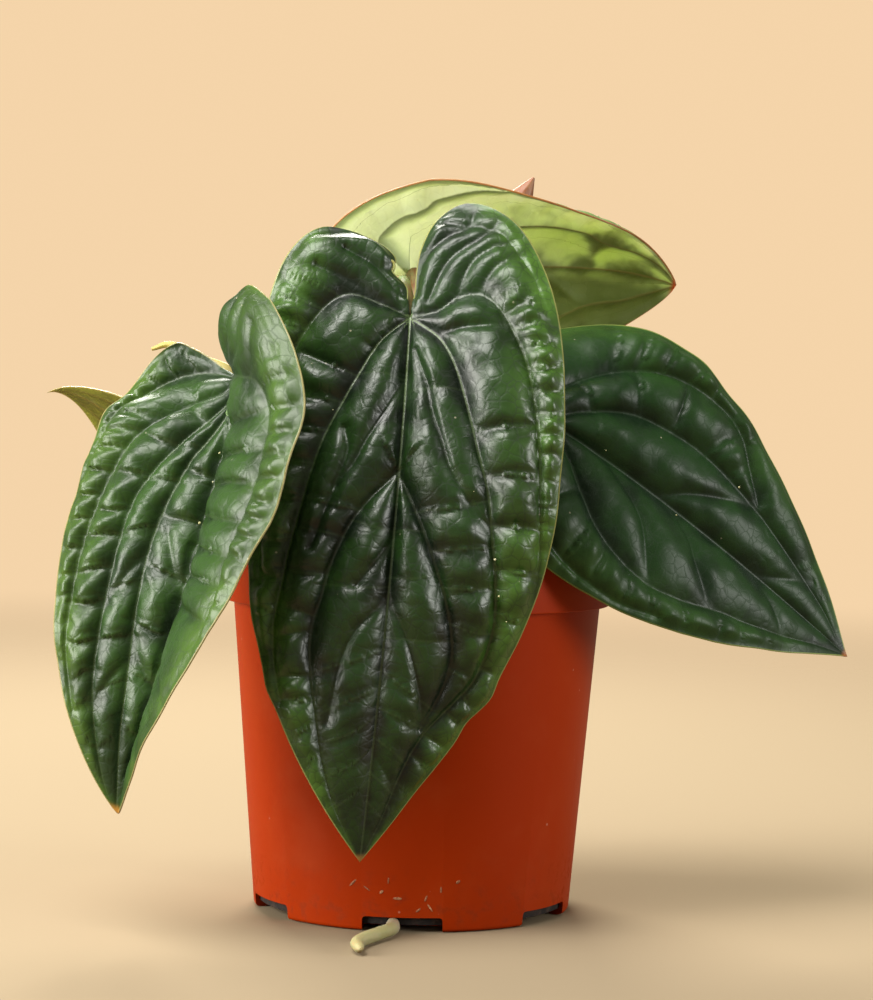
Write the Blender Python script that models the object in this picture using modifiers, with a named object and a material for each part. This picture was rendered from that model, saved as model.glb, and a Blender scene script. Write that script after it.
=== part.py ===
"""Potted anthurium: a 12 cm nursery pot with soil, a short crown, five heart-shaped leaves
on stalks, two furled young leaves and one root that has grown out of a drainage slot.

Metres, +Z up. The origin is the middle of the pot's flat underside, and -Y is the front.
"""
import math
from dataclasses import dataclass

import bmesh
import bpy
import numpy as np
from mathutils import Matrix, Vector

GAP = 0.0003            # clearance between pieces that touch

# Pot
POT_BASE_RADIUS = 0.0492
POT_NECK_RADIUS = 0.0571     # body radius just under the rim band
RIM_RADIUS = 0.0600
RIM_FLARE = 0.0006           # how much wider the band is at its top
RIM_BOTTOM = 0.0952
POT_HEIGHT = 0.1125
WALL = 0.0012
FLOOR = 0.0018
BASE_ROUND = 0.0012          # rounding where the wall meets the underside
POT_SIDES = 48

# Drainage slots
SLOT_COUNT = 6
SLOT_FIRST_ANGLE = -93.0     # degrees; the slot at the front
SLOT_WIDTH = 0.024
SLOT_HEIGHT = 0.0046
SLOT_DEPTH = 0.0095          # how far a slot runs in under the floor

# Soil
SOIL_TOP = 0.0985
SOIL_RINGS = 7
SOIL_LUMP = 0.0020
SOIL_CALM_RADIUS = 0.020     # the surface is level round the crown

# Crown
CROWN_RADIUS = 0.0125
CROWN_BOTTOM = 0.0600
CROWN_TOP = 0.1200
CROWN_SIDES = 18
NUB_RADIUS = 0.0016          # short aerial roots on the crown

# Stalks
STALK_SPACING = 0.0070       # distance between the rings of a stalk
STALK_ROUNDNESS = 2          # bevel resolution: eight sides
NECK = 0.0044                # straight end of a stalk, square to the blade
NECK_GAP = 0.0007            # how far a stalk stops under its blade
KNUCKLE_BEND = 0.013         # the last stretch of a stalk, which bends most
SOCKET_LENGTH = 0.018
SOCKET_FLARE = 0.0024        # how much wider a socket is at its mouth

# Blades
BLADE_THICKNESS = 0.0007
RIB_PITCH = 0.0096           # distance between cross ribs along the midrib
RIB_BOW = 0.0065             # how far the cross ribs sag towards the tip
LOBE_ROWS = 6
BAND_EDGES = (0.0, 0.28, 0.56, 0.80, 1.0)   # long veins, as shares of the half width
CROSS_DEPTH = 0.70           # share of a pillow's height that a cross rib cuts
MARGIN_WAVE = 0.0006

COLLECTION = "potted_anthurium"
CUTTERS = "cutters"


@dataclass(frozen=True)
class Half:
    """One half of a blade. Fold and curl are degrees at the lobe, the widest row and the tip.

    The lobe bends down by bend degrees over its length. Its inner margin stays by the midline for
    the share straight of the lobe, and then runs to the apex, the straighter the larger open is.
    """
    width: float
    lobe: float
    lobe_apex: float
    bend: float
    fold: tuple
    curl: tuple
    straight: float = 0.3
    open: float = 0.0


@dataclass(frozen=True)
class Leaf:
    """A blade: its midrib bends from notch by way of knee to tip, and its face looks along a vector."""
    name: str
    notch: tuple
    knee: tuple
    tip: tuple
    face_notch: tuple
    face_tip: tuple
    left: Half
    right: Half
    widest: float
    taper: tuple
    gap: float
    relief: float
    color: tuple


@dataclass(frozen=True)
class Stalk:
    """A stalk from its socket in the crown through hand-set points to the blade."""
    name: str
    route: tuple
    base_radius: float
    top_radius: float
    color: tuple


FRONT = Leaf(
    name="leaf_front_blade",
    notch=(-0.0036, -0.0567, 0.1814), knee=(-0.0060, -0.0880, 0.1150), tip=(-0.0149, -0.0726, 0.0247),
    face_notch=(-0.07, -1.0, 0.25), face_tip=(0.25, -1.0, 0.09),
    left=Half(0.0462, 0.0267, 0.0250, 1, (15, 1, 3), (-7, -43, -22)),
    right=Half(0.0468, 0.0372, 0.0155, 1, (12, 18, -19), (-14, -26, -13)),
    widest=0.23, taper=(2.35, 1.01), gap=0.0010, relief=0.0026, color=(0.03, 0.07, 0.02))
LEFT = Leaf(
    name="leaf_left_blade",
    notch=(-0.0530, -0.0459, 0.1627), knee=(-0.0583, -0.0789, 0.1260), tip=(-0.0856, -0.0633, 0.0360),
    face_notch=(-0.50, -0.79, 0.52), face_tip=(-0.45, -1.0, 0.12),
    left=Half(0.0454, 0.0164, 0.0204, -70, (-12, 16, 23), (40, -21, -7), straight=0.0, open=0.8),
    right=Half(0.0427, 0.0101, 0.0326, -2, (102, 40, 58), (-107, -26, 5), straight=0.06),
    widest=0.19, taper=(2.52, 0.87), gap=0.0010, relief=0.0024, color=(0.03, 0.08, 0.03))
RIGHT = Leaf(
    name="leaf_right_blade",
    notch=(0.0384, -0.0306, 0.1514), knee=(0.0753, -0.0261, 0.1304), tip=(0.1351, -0.0002, 0.0803),
    face_notch=(0.44, -0.75, 0.43), face_tip=(0.30, -0.90, 0.41),
    left=Half(0.0437, 0.0260, 0.0170, 12, (9, 10, 12), (-20, -27, -11)),
    right=Half(0.0474, 0.0243, 0.0167, 12, (-4, 16, 8), (-28, -8, -30)),
    widest=0.19, taper=(1.97, 1.09), gap=0.0010, relief=0.0022, color=(0.02, 0.05, 0.02))
BACK = Leaf(
    name="leaf_back_blade",
    notch=(-0.0045, 0.0039, 0.1967), knee=(0.0559, 0.0384, 0.2071), tip=(0.0820, 0.0329, 0.1970),
    face_notch=(-0.22, 0.75, 0.10), face_tip=(0.11, 0.75, 1.12),
    left=Half(0.0388, 0.0319, 0.0071, -10, (-14, -17, -11), (-20, -37, -31)),
    right=Half(0.0362, 0.0240, 0.0150, 12, (5, 8, -13), (-20, -25, -21)),
    widest=0.37, taper=(2.48, 0.72), gap=0.0010, relief=0.0024, color=(0.35, 0.46, 0.12))
YOUNG = Leaf(
    name="leaf_young_blade",
    notch=(-0.0734, 0.0027, 0.1320), knee=(-0.1073, 0.0061, 0.1635), tip=(-0.1181, 0.0113, 0.1580),
    face_notch=(0.40, 0.75, 0.63), face_tip=(0.28, 0.75, 0.62),
    left=Half(0.0183, 0.0090, 0.0070, 5, (8, 6, 9), (-15, -19, -14)),
    right=Half(0.0136, 0.0090, 0.0070, 5, (8, 6, 7), (-15, -19, -14)),
    widest=0.22, taper=(1.92, 1.68), gap=0.0008, relief=0.0009, color=(0.25, 0.22, 0.03))

STALK_GREEN = (0.22, 0.30, 0.08)
STALKS = (
    (FRONT, Stalk(
        "leaf_front_stalk",
        ((0.0, -0.0075, 0.1080), (-0.0005, -0.0130, 0.1240), (-0.0030, -0.0220, 0.1600),
         (-0.0062, -0.0340, 0.1890), (-0.0058, -0.0430, 0.1920), (-0.0048, -0.0495, 0.1875)),
        0.0029, 0.0021, STALK_GREEN)),
    (LEFT, Stalk(
        "leaf_left_stalk",
        ((-0.0072, -0.0032, 0.1080), (-0.0145, -0.0075, 0.1240), (-0.0270, -0.0170, 0.1480),
         (-0.0430, -0.0300, 0.1640)),
        0.0029, 0.0020, STALK_GREEN)),
    (RIGHT, Stalk(
        "leaf_right_stalk",
        ((0.0072, -0.0032, 0.1070), (0.0150, -0.0080, 0.1215), (0.0270, -0.0150, 0.1390)),
        0.0028, 0.0020, STALK_GREEN)),
    (BACK, Stalk(
        "leaf_back_stalk",
        ((0.0064, 0.0046, 0.1090), (0.0090, 0.0060, 0.1260), (0.0070, 0.0000, 0.1560),
         (-0.0010, -0.0050, 0.1840)),
        0.0027, 0.0019, STALK_GREEN)),
    (YOUNG, Stalk(
        "leaf_young_stalk",
        ((-0.0074, 0.0027, 0.1090), (-0.0180, 0.0045, 0.1165), (-0.0400, 0.0010, 0.1205),
         (-0.0600, -0.0040, 0.1185), (-0.0710, -0.0055, 0.1225)),
        0.0020, 0.0013, (0.24, 0.24, 0.05))),
)


@dataclass(frozen=True)
class Furled:
    """A young leaf that is still rolled up, in one piece with its stalk."""
    name: str
    route: tuple
    radii: tuple
    color: tuple


FURLED = (
    Furled("leaf_new_red", ((0.0003, 0.0010, 0.1120), (0.0010, 0.0090, 0.1300), (0.0080, 0.0350, 0.1600),
                            (0.0190, 0.0490, 0.1860), (0.0264, 0.0500, 0.2137), (0.0303, 0.0490, 0.2224),
                            (0.0329, 0.0480, 0.2270), (0.0358, 0.0470, 0.2319)),
           (0.0020, 0.0017, 0.0017, 0.0017, 0.0017, 0.0019, 0.0024, 0.0032, 0.0040, 0.0044, 0.0046, 0.0044,
            0.0005), (0.22, 0.05, 0.02)),
    Furled("leaf_new_olive", ((-0.0026, 0.0076, 0.1100), (-0.0090, 0.0160, 0.1260), (-0.0384, 0.0200, 0.1477),
                              (-0.0591, 0.0240, 0.1640), (-0.0700, 0.0260, 0.1690), (-0.0805, 0.0280, 0.1741),
                              (-0.0870, 0.0290, 0.1727)),
           (0.0020, 0.0016, 0.0016, 0.0017, 0.0019, 0.0022, 0.0023, 0.0020, 0.0006), (0.42, 0.30, 0.05)),
)

# Root that has grown out of the front slot and lies on the surface
ROOT_RADIUS = 0.0020
ROOT_ROUTE = ((-0.0052, -0.0482, 0.0024), (-0.0058, -0.0560, 0.0024), (-0.0120, -0.0680, 0.0023),
              (-0.0152, -0.0770, 0.0023), (-0.0140, -0.0860, 0.0023))

NUBS = (   # azimuth in degrees, height, length
    (-120.0, 0.1030, 0.0060),
    (-55.0, 0.1020, 0.0050),
    (70.0, 0.1040, 0.0070),
    (190.0, 0.1030, 0.0055),
)


def clear_scene():
    """Remove every object that the file opened with."""
    for thing in list(bpy.data.objects):
        bpy.data.objects.remove(thing, do_unlink=True)


def new_collection(name):
    """Make a collection under the scene's own."""
    group = bpy.data.collections.new(name)
    bpy.context.scene.collection.children.link(group)
    return group


def plain_material(name, color, roughness, metallic=0.0):
    """Make a Principled material with one colour."""
    material = bpy.data.materials.new(name)
    material.use_nodes = True
    shader = material.node_tree.nodes["Principled BSDF"]
    shader.inputs["Base Color"].default_value = (*color, 1.0)
    shader.inputs["Roughness"].default_value = roughness
    shader.inputs["Metallic"].default_value = metallic
    return material


def add_object(name, mesh, material, group):
    """Link a mesh as a named, smooth-shaded object."""
    thing = bpy.data.objects.new(name, mesh)
    mesh.materials.clear()
    mesh.materials.append(material)
    mesh.shade_smooth()
    mesh.set_sharp_from_angle(angle=math.radians(40))
    group.objects.link(thing)
    return thing


def turned_object(name, profile, sides, material, group):
    """Turn a profile of (radius, height) points round Z; it runs down its outer side."""
    mesh = bpy.data.meshes.new(name)
    points = [(radius, 0.0, height) for radius, height in profile]
    edges = [(i, i + 1) for i in range(len(points) - 1)]
    mesh.from_pydata(points, edges, [])
    thing = bpy.data.objects.new(name, mesh)
    group.objects.link(thing)
    screw = thing.modifiers.new("turn", "SCREW")
    screw.axis = "Z"
    screw.steps = sides
    screw.render_steps = sides
    screw.use_merge_vertices = True
    screw.merge_threshold = 0.00001
    screw.use_smooth_shade = True
    mesh.materials.append(material)
    return thing


def applied_mesh(thing):
    """Return a new mesh of the object as its modifiers leave it."""
    bpy.context.view_layer.update()
    graph = bpy.context.evaluated_depsgraph_get()
    return bpy.data.meshes.new_from_object(thing.evaluated_get(graph))


def smooth_route(points, spacing, bend=0.0):
    """Read points at a spacing along a Catmull-Rom curve, three times as close over the last bend."""
    p = [np.array(q, dtype=float) for q in points]
    p = [2 * p[0] - p[1]] + p + [2 * p[-1] - p[-2]]
    fine = []
    for i in range(1, len(p) - 2):
        for t in np.linspace(0.0, 1.0, 24, endpoint=False):
            a = 2 * p[i]
            b = p[i + 1] - p[i - 1]
            c = 2 * p[i - 1] - 5 * p[i] + 4 * p[i + 1] - p[i + 2]
            d = 3 * p[i] - p[i - 1] - 3 * p[i + 1] + p[i + 2]
            fine.append(0.5 * (a + b * t + c * t * t + d * t ** 3))
    fine.append(p[-2])
    fine = np.array(fine)
    run = np.concatenate([[0.0], np.cumsum(np.linalg.norm(np.diff(fine, axis=0), axis=1))])
    count = max(2, round((run[-1] - bend) / spacing))
    stations = np.linspace(0.0, run[-1] - bend, count + 1)
    if bend > 0:
        tail = np.linspace(run[-1] - bend, run[-1], round(3 * bend / spacing) + 1)
        stations = np.concatenate([stations, tail[1:]])
    path = np.stack([np.interp(stations, run, fine[:, k]) for k in range(3)], axis=1)
    return path, stations / run[-1]


def tube_mesh(name, path, radii, roundness=STALK_ROUNDNESS):
    """Sweep a round section of changing radius along a path, as a closed mesh."""
    curve = bpy.data.curves.new(name, "CURVE")
    curve.dimensions = "3D"
    curve.bevel_depth = 1.0
    curve.bevel_resolution = roundness
    curve.use_fill_caps = True
    spline = curve.splines.new("POLY")
    spline.points.add(len(path) - 1)
    for point, place, radius in zip(spline.points, path, radii):
        point.co = (*place, 1.0)
        point.radius = radius
    thing = bpy.data.objects.new(name, curve)
    bpy.context.scene.collection.objects.link(thing)
    mesh = applied_mesh(thing)
    bpy.data.objects.remove(thing, do_unlink=True)
    bm = bmesh.new()
    bm.from_mesh(mesh)
    bmesh.ops.remove_doubles(bm, verts=bm.verts, dist=0.00001)
    bmesh.ops.recalc_face_normals(bm, faces=bm.faces)
    bm.to_mesh(mesh)
    bm.free()
    return mesh


def boolean(thing, cutter, operation):
    """Add an exact Boolean with one cutter, and hide the cutter."""
    cut = thing.modifiers.new(operation.lower(), "BOOLEAN")
    cut.operation = operation
    cut.solver = "EXACT"
    cut.object = cutter
    cutter.hide_render = True
    cutter.display_type = "WIRE"


def inner_radius(height):
    """Radius of the pot's inner wall at a height below the rim band."""
    slope = (POT_NECK_RADIUS - POT_BASE_RADIUS) / RIM_BOTTOM
    return POT_BASE_RADIUS + slope * height - WALL


def build_pot(group, cutters):
    """Turn the pot with its rim band, then cut the drainage slots at its foot."""
    profile = [
        (0.0, FLOOR),
        (inner_radius(FLOOR), FLOOR),
        (inner_radius(RIM_BOTTOM), RIM_BOTTOM + WALL),
        (RIM_RADIUS - WALL, RIM_BOTTOM + WALL),
        (RIM_RADIUS + RIM_FLARE - WALL, POT_HEIGHT),
        (RIM_RADIUS + RIM_FLARE - 0.3 * WALL, POT_HEIGHT + 0.3 * WALL),
        (RIM_RADIUS + RIM_FLARE, POT_HEIGHT - 0.3 * WALL),
        (RIM_RADIUS, RIM_BOTTOM),
        (POT_NECK_RADIUS, RIM_BOTTOM),
        (POT_BASE_RADIUS, BASE_ROUND),
        (POT_BASE_RADIUS - BASE_ROUND, 0.0),
        (0.0, 0.0),
    ]
    material = plain_material("terracotta_plastic", (0.50, 0.07, 0.02), 0.4)
    pot = turned_object("pot", profile, POT_SIDES, material, group)
    for i in range(SLOT_COUNT):
        angle = math.radians(SLOT_FIRST_ANGLE + i * 360.0 / SLOT_COUNT)
        bm = bmesh.new()
        bmesh.ops.create_cube(bm, size=1.0)
        size = Vector((2 * SLOT_DEPTH, SLOT_WIDTH, 2 * SLOT_HEIGHT))
        bmesh.ops.scale(bm, vec=size, verts=bm.verts)
        bmesh.ops.translate(bm, vec=(POT_BASE_RADIUS, 0.0, 0.0), verts=bm.verts)
        bmesh.ops.rotate(bm, cent=(0, 0, 0), matrix=Matrix.Rotation(angle, 3, "Z"), verts=bm.verts)
        mesh = bpy.data.meshes.new(f"slot_cutter_{i + 1}")
        bm.to_mesh(mesh)
        bm.free()
        cutter = bpy.data.objects.new(mesh.name, mesh)
        cutters.objects.link(cutter)
        boolean(pot, cutter, "DIFFERENCE")


def soil_height(x, y):
    """Height of the soil's lumpy top above or below its mean level."""
    radius = math.hypot(x, y)
    calm = min(1.0, max(0.0, (radius - CROWN_RADIUS) / (SOIL_CALM_RADIUS - CROWN_RADIUS)) ** 2)
    lumps = math.sin(310 * x + 1.3) * math.sin(270 * y + 0.4)
    lumps += 0.6 * math.sin(520 * x - 330 * y + 2.1) + 0.5 * math.sin(450 * y + 610 * x)
    return SOIL_LUMP * calm * lumps / 2.1


def build_soil(group):
    """Fill the pot with soil that has a plain hole for the crown."""
    hole = CROWN_RADIUS + GAP
    floor = FLOOR + GAP
    edge = inner_radius(RIM_BOTTOM) - GAP
    outline = [(0.0, CROWN_BOTTOM - GAP), (hole, CROWN_BOTTOM - GAP)]
    for i in range(SOIL_RINGS + 1):
        outline.append((hole + (edge - hole) * i / SOIL_RINGS, SOIL_TOP))
    outline.append((edge, RIM_BOTTOM))
    outline.append((inner_radius(floor) - GAP, floor))
    outline.append((0.0, floor))
    material = plain_material("soil", (0.03, 0.015, 0.01), 0.95)
    raw = turned_object("soil_turned", outline, POT_SIDES, material, group)
    mesh = applied_mesh(raw)
    bpy.data.objects.remove(raw, do_unlink=True)
    for vertex in mesh.vertices:
        if vertex.co.z > SOIL_TOP - 0.0001:
            vertex.co.z += soil_height(vertex.co.x, vertex.co.y)
    add_object("soil", mesh, material, group)


def socket_mesh(name, route, radius):
    """A straight cutter round the first stretch of a stalk, a gap wider and deeper."""
    start = Vector(route[0])
    way = (Vector(route[1]) - start).normalized()
    bm = bmesh.new()
    bmesh.ops.create_cone(bm, cap_ends=True, segments=16, depth=SOCKET_LENGTH,
                          radius1=radius + GAP, radius2=radius + GAP + SOCKET_FLARE)
    turn = Vector((0, 0, 1)).rotation_difference(way).to_matrix()
    bmesh.ops.rotate(bm, cent=(0, 0, 0), matrix=turn, verts=bm.verts)
    bmesh.ops.translate(bm, vec=start + way * (SOCKET_LENGTH / 2 - GAP), verts=bm.verts)
    mesh = bpy.data.meshes.new(name)
    bm.to_mesh(mesh)
    bm.free()
    return mesh


def build_crown(group, cutters):
    """Turn the short ringed crown, add aerial root nubs and bore a socket for each stalk."""
    profile = [
        (0.0, CROWN_TOP),
        (0.45 * CROWN_RADIUS, CROWN_TOP - 0.0005),
        (0.80 * CROWN_RADIUS, CROWN_TOP - 0.0040),
        (0.93 * CROWN_RADIUS, CROWN_TOP - 0.0090),
        (0.86 * CROWN_RADIUS, CROWN_TOP - 0.0100),
        (1.00 * CROWN_RADIUS, CROWN_TOP - 0.0150),
        (0.92 * CROWN_RADIUS, CROWN_TOP - 0.0160),
        (1.00 * CROWN_RADIUS, CROWN_TOP - 0.0240),
        (0.85 * CROWN_RADIUS, CROWN_BOTTOM + 0.0060),
        (0.55 * CROWN_RADIUS, CROWN_BOTTOM),
        (0.0, CROWN_BOTTOM),
    ]
    material = plain_material("crown_bark", (0.14, 0.09, 0.04), 0.7)
    crown = turned_object("crown", profile, CROWN_SIDES, material, group)
    for i, (azimuth, height, length) in enumerate(NUBS):
        angle = math.radians(azimuth)
        out = np.array((math.cos(angle), math.sin(angle), 0.0))
        start = 0.6 * CROWN_RADIUS * out + np.array((0, 0, height + 0.0010))
        middle = (CROWN_RADIUS + 0.4 * length) * out + np.array((0, 0, height))
        end = (CROWN_RADIUS + 0.8 * length) * out + np.array((0, 0, height - 0.0012))
        path, share = smooth_route((start, middle, end), 0.004)
        radii = [NUB_RADIUS * (1.0 - 0.55 * s ** 3) for s in share]
        nub = bpy.data.objects.new(f"nub_{i + 1}", tube_mesh(f"nub_{i + 1}", path, radii))
        cutters.objects.link(nub)
        boolean(crown, nub, "UNION")
    sockets = [(stalk.name, stalk.route, stalk.base_radius) for leaf, stalk in STALKS]
    sockets += [(young.name, young.route, young.radii[0]) for young in FURLED]
    for name, route, radius in sockets:
        cutter = bpy.data.objects.new(f"socket_{name}", socket_mesh(f"socket_{name}", route, radius))
        cutters.objects.link(cutter)
        boolean(crown, cutter, "DIFFERENCE")


class Blade:
    """The surface of one leaf blade, as a mapping from the flat leaf to space."""

    def __init__(self, leaf):
        self.leaf = leaf
        t = np.linspace(0.0, 1.0, 201)[:, None]
        a, b, c = (np.array(q) for q in (leaf.notch, leaf.knee, leaf.tip))
        self.spine = (1 - t) ** 2 * a + 2 * t * (1 - t) * b + t * t * c
        way = 2 * (1 - t) * (b - a) + 2 * t * (c - b)
        self.way = way / np.linalg.norm(way, axis=1, keepdims=True)
        steps = np.linalg.norm(np.diff(self.spine, axis=0), axis=1)
        self.run = np.concatenate([[0.0], np.cumsum(steps)])
        self.length = self.run[-1]

    def half(self, side):
        """The sizes of the left (-1) or right (1) half."""
        return self.leaf.right if side > 0 else self.leaf.left

    def outer(self, v, side):
        """Half width from the midline to the margin at distance v past the notch."""
        half = self.half(side)
        widest = self.leaf.widest * self.length
        up = np.clip((widest - v) / (half.lobe + widest), 0, 1)
        low = np.clip((v - widest) / (self.length - widest), 0, 1)
        a, b = self.leaf.taper
        above = half.lobe_apex + (half.width - half.lobe_apex) * np.sqrt(np.clip(1 - up ** 2.3, 0, 1))
        below = half.width * (1 - low ** a) ** b
        return np.where(v < widest, above, below)

    def inner(self, v, side):
        """Distance of the lobe's inner margin from the midline, behind the notch."""
        half = self.half(side)
        start = half.straight * half.lobe
        k = np.clip((-v - start) / (half.lobe - start), 0, 1)
        narrow = self.leaf.gap * np.clip(-v / (0.25 * half.lobe), 0, 1)
        arc = 1 - np.sqrt(1 - k ** 2)
        return narrow + (half.lobe_apex - narrow) * (arc + half.open * (k - arc))

    def station(self, v, trio, side):
        """Blend three values given at the lobe's top, the widest row and the tip."""
        half = self.half(side)
        widest = self.leaf.widest * self.length
        up = np.clip((v + half.lobe) / (half.lobe + widest), 0, 1)
        low = np.clip((v - widest) / (self.length - widest), 0, 1)
        ease_up = up * up * (3 - 2 * up)
        ease_low = low * low * (3 - 2 * low)
        a, b, c = trio
        return np.where(v < widest, a + (b - a) * ease_up, b + (c - b) * ease_low)

    def frame(self, v, side):
        """Spine point, direction to the tip, face normal and sideways direction at v."""
        along = np.clip(v, 0, self.length)
        place = np.stack([np.interp(along, self.run, self.spine[:, k]) for k in range(3)], -1)
        way = np.stack([np.interp(along, self.run, self.way[:, k]) for k in range(3)], -1)
        share = (along / self.length)[..., None]
        first = np.array(self.leaf.face_notch) / np.linalg.norm(self.leaf.face_notch)
        last = np.array(self.leaf.face_tip) / np.linalg.norm(self.leaf.face_tip)
        face = first * (1 - share) + last * share
        face = face - (face * way).sum(-1, keepdims=True) * way
        face /= np.linalg.norm(face, axis=-1, keepdims=True)
        back = np.clip(-v, 0, None)[..., None]
        rate = math.radians(self.half(side).bend) / self.half(side).lobe
        turn = rate * back
        place = place - (np.sin(turn) / rate * way + (1 - np.cos(turn)) / rate * face)
        bent_way = np.cos(turn) * way + np.sin(turn) * face
        bent_face = np.cos(turn) * face - np.sin(turn) * way
        return place, bent_way, bent_face, np.cross(bent_face, bent_way)

    def surface(self, u, v, side):
        """Point and upward normal of the smooth blade at u across and v along."""
        place, way, face, across = self.frame(v, side)
        half = self.half(side)
        fold = np.radians(self.station(v, half.fold, side))
        rate = np.radians(self.station(v, half.curl, side)) / half.width
        rate = np.where(np.abs(rate) < 1e-3, 1e-3, rate)
        turn = fold + rate * u
        sideways = ((np.sin(turn) - np.sin(fold)) / rate)[..., None]
        upward = ((np.cos(fold) - np.cos(turn)) / rate)[..., None]
        point = place + side * across * sideways + face * upward
        normal = np.cos(turn)[..., None] * face - side * np.sin(turn)[..., None] * across
        return point, normal

    def relief(self, share, v, row, side):
        """Height of the quilted pillows, which sink to the long veins and the cross ribs."""
        bands = np.array(BAND_EDGES)
        band = np.clip(np.searchsorted(bands, share, side="right") - 1, 0, len(bands) - 2)
        across = (share - bands[band]) / (bands[band + 1] - bands[band])
        crest = np.sin(np.pi * across)
        beat = np.where((row + band) % 2 == 0, 1.0, 1.0 - CROSS_DEPTH)
        half = self.half(side)
        ends = np.clip(self.outer(v, side) / half.width, 0, 1) ** 1.3
        ends = ends * np.clip((v + half.lobe) / (0.25 * half.lobe), 0, 1)
        pillow = self.leaf.relief * crest * beat * ends
        wave = MARGIN_WAVE * np.sin(2 * np.pi * v / (3.1 * RIB_PITCH)) * share ** 4 * ends
        return pillow + wave


def half_grid(blade, side, columns, rows):
    """Make one half of a blade from a grid whose columns run from the midrib to the margin."""
    bm = bmesh.new()
    bmesh.ops.create_grid(bm, x_segments=columns, y_segments=rows, size=0.5)
    flat = np.array([vertex.co for vertex in bm.verts])
    column = np.rint((flat[:, 0] + 0.5) * columns).astype(int)
    row = np.rint((flat[:, 1] + 0.5) * rows).astype(int)
    bands = np.array(BAND_EDGES)
    levels = np.interp(np.linspace(0, len(bands) - 1, columns + 1), np.arange(len(bands)), bands)
    share = levels[column]
    lobe = blade.half(side).lobe
    behind = -lobe * np.cos(0.5 * np.pi * np.minimum(row, LOBE_ROWS) / LOBE_ROWS)
    ahead = blade.length * (row - LOBE_ROWS) / (rows - LOBE_ROWS)
    v = np.where(row < LOBE_ROWS, behind, ahead)
    v[row == 0] = -lobe
    eased = np.clip(v / (0.15 * blade.length), 0, 1)
    eased = eased * np.clip((blade.length - v) / (0.3 * blade.length), 0, 1)
    v = v + RIB_BOW * eased * np.sin(np.pi * share)
    near = np.where(v < 0, blade.inner(v, side), 0.0)
    u = near + (blade.outer(v, side) - near) * share
    point, normal = blade.surface(u, v, side)
    place = point + normal * blade.relief(share, v, row, side)[:, None]
    for vertex, co in zip(bm.verts, place):
        vertex.co = co
    if side > 0:
        bmesh.ops.reverse_faces(bm, faces=bm.faces)
    mesh = bpy.data.meshes.new("half")
    bm.to_mesh(mesh)
    bm.free()
    return mesh


def build_blade(leaf, group):
    """Join both halves on the midrib, split them into triangles and give them a thickness."""
    blade = Blade(leaf)
    columns = 2 * (len(BAND_EDGES) - 1)
    rows = LOBE_ROWS + 2 * round(blade.length / RIB_PITCH)
    bm = bmesh.new()
    for side in (-1, 1):
        bm.from_mesh(half_grid(blade, side, columns, rows))
    bmesh.ops.remove_doubles(bm, verts=bm.verts, dist=0.00002)
    bmesh.ops.dissolve_degenerate(bm, edges=bm.edges, dist=0.00002)
    bmesh.ops.triangulate(bm, faces=bm.faces)
    mesh = bpy.data.meshes.new(leaf.name)
    bm.to_mesh(mesh)
    bm.free()
    thing = add_object(leaf.name, mesh, plain_material(leaf.name, leaf.color, 0.35), group)
    wall = thing.modifiers.new("thickness", "SOLIDIFY")
    wall.thickness = BLADE_THICKNESS
    wall.offset = -1.0


def build_stalk(leaf, stalk, group):
    """Sweep a stalk from its socket to just under the blade's notch, swollen below the blade."""
    blade = Blade(leaf)
    place, way, face, across = blade.frame(np.array(0.0), 1)
    under = place - face * (BLADE_THICKNESS + NECK_GAP)
    neck = under - face * NECK
    path, share = smooth_route((*stalk.route, neck, under), STALK_SPACING, KNUCKLE_BEND)
    taper = stalk.base_radius + (stalk.top_radius - stalk.base_radius) * np.minimum(1.0, 1.6 * share)
    knuckle = 1.0 + 0.22 * np.exp(-((share - 0.93) / 0.05) ** 2)
    rounded = np.where(share > 0.9999, 0.72, 1.0)
    mesh = tube_mesh(stalk.name, path, taper * knuckle * rounded)
    add_object(stalk.name, mesh, plain_material(stalk.name, stalk.color, 0.45), group)


def build_furled(young, group):
    """Sweep a rolled young leaf with its stalk, fattest where the blade is rolled."""
    path, share = smooth_route(young.route, 0.0055)
    marks = np.linspace(0.0, 1.0, len(young.radii))
    radii = np.interp(share, marks, young.radii)
    mesh = tube_mesh(young.name, path, radii)
    add_object(young.name, mesh, plain_material(young.name, young.color, 0.5), group)


def build_root(group):
    """Lay the stray root from the front slot along the surface."""
    path, share = smooth_route(ROOT_ROUTE, 0.004)
    radii = ROOT_RADIUS * (1.0 - 0.35 * share ** 6)
    mesh = tube_mesh("root", path, radii, roundness=3)
    add_object("root", mesh, plain_material("root", (0.50, 0.48, 0.27), 0.6), group)


def main():
    """Build the potted plant."""
    clear_scene()
    group = new_collection(COLLECTION)
    cutters = new_collection(CUTTERS)
    build_pot(group, cutters)
    build_soil(group)
    build_crown(group, cutters)
    for leaf, stalk in STALKS:
        build_blade(leaf, group)
        build_stalk(leaf, stalk, group)
    for young in FURLED:
        build_furled(young, group)
    build_root(group)


main()
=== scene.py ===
"""Looks of the potted anthurium: quilted blades, stalks, crown, potting mix, pot and root.

Each piece rides on the frame's one body and keeps the place of the node that it stands for.
Lengths are metres, +Z is up and -Y is the front. Places on a flat leaf are millimetres, given
as (across the midrib, past the notch), the way a leaf is measured on a table.
"""

import logging
import math
import random
from collections.abc import Callable, Sequence
from dataclasses import dataclass, field
from enum import Enum

import bmesh
import bpy
import numpy as np
from mathutils import Matrix, Vector, noise
from mathutils.kdtree import KDTree


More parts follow.
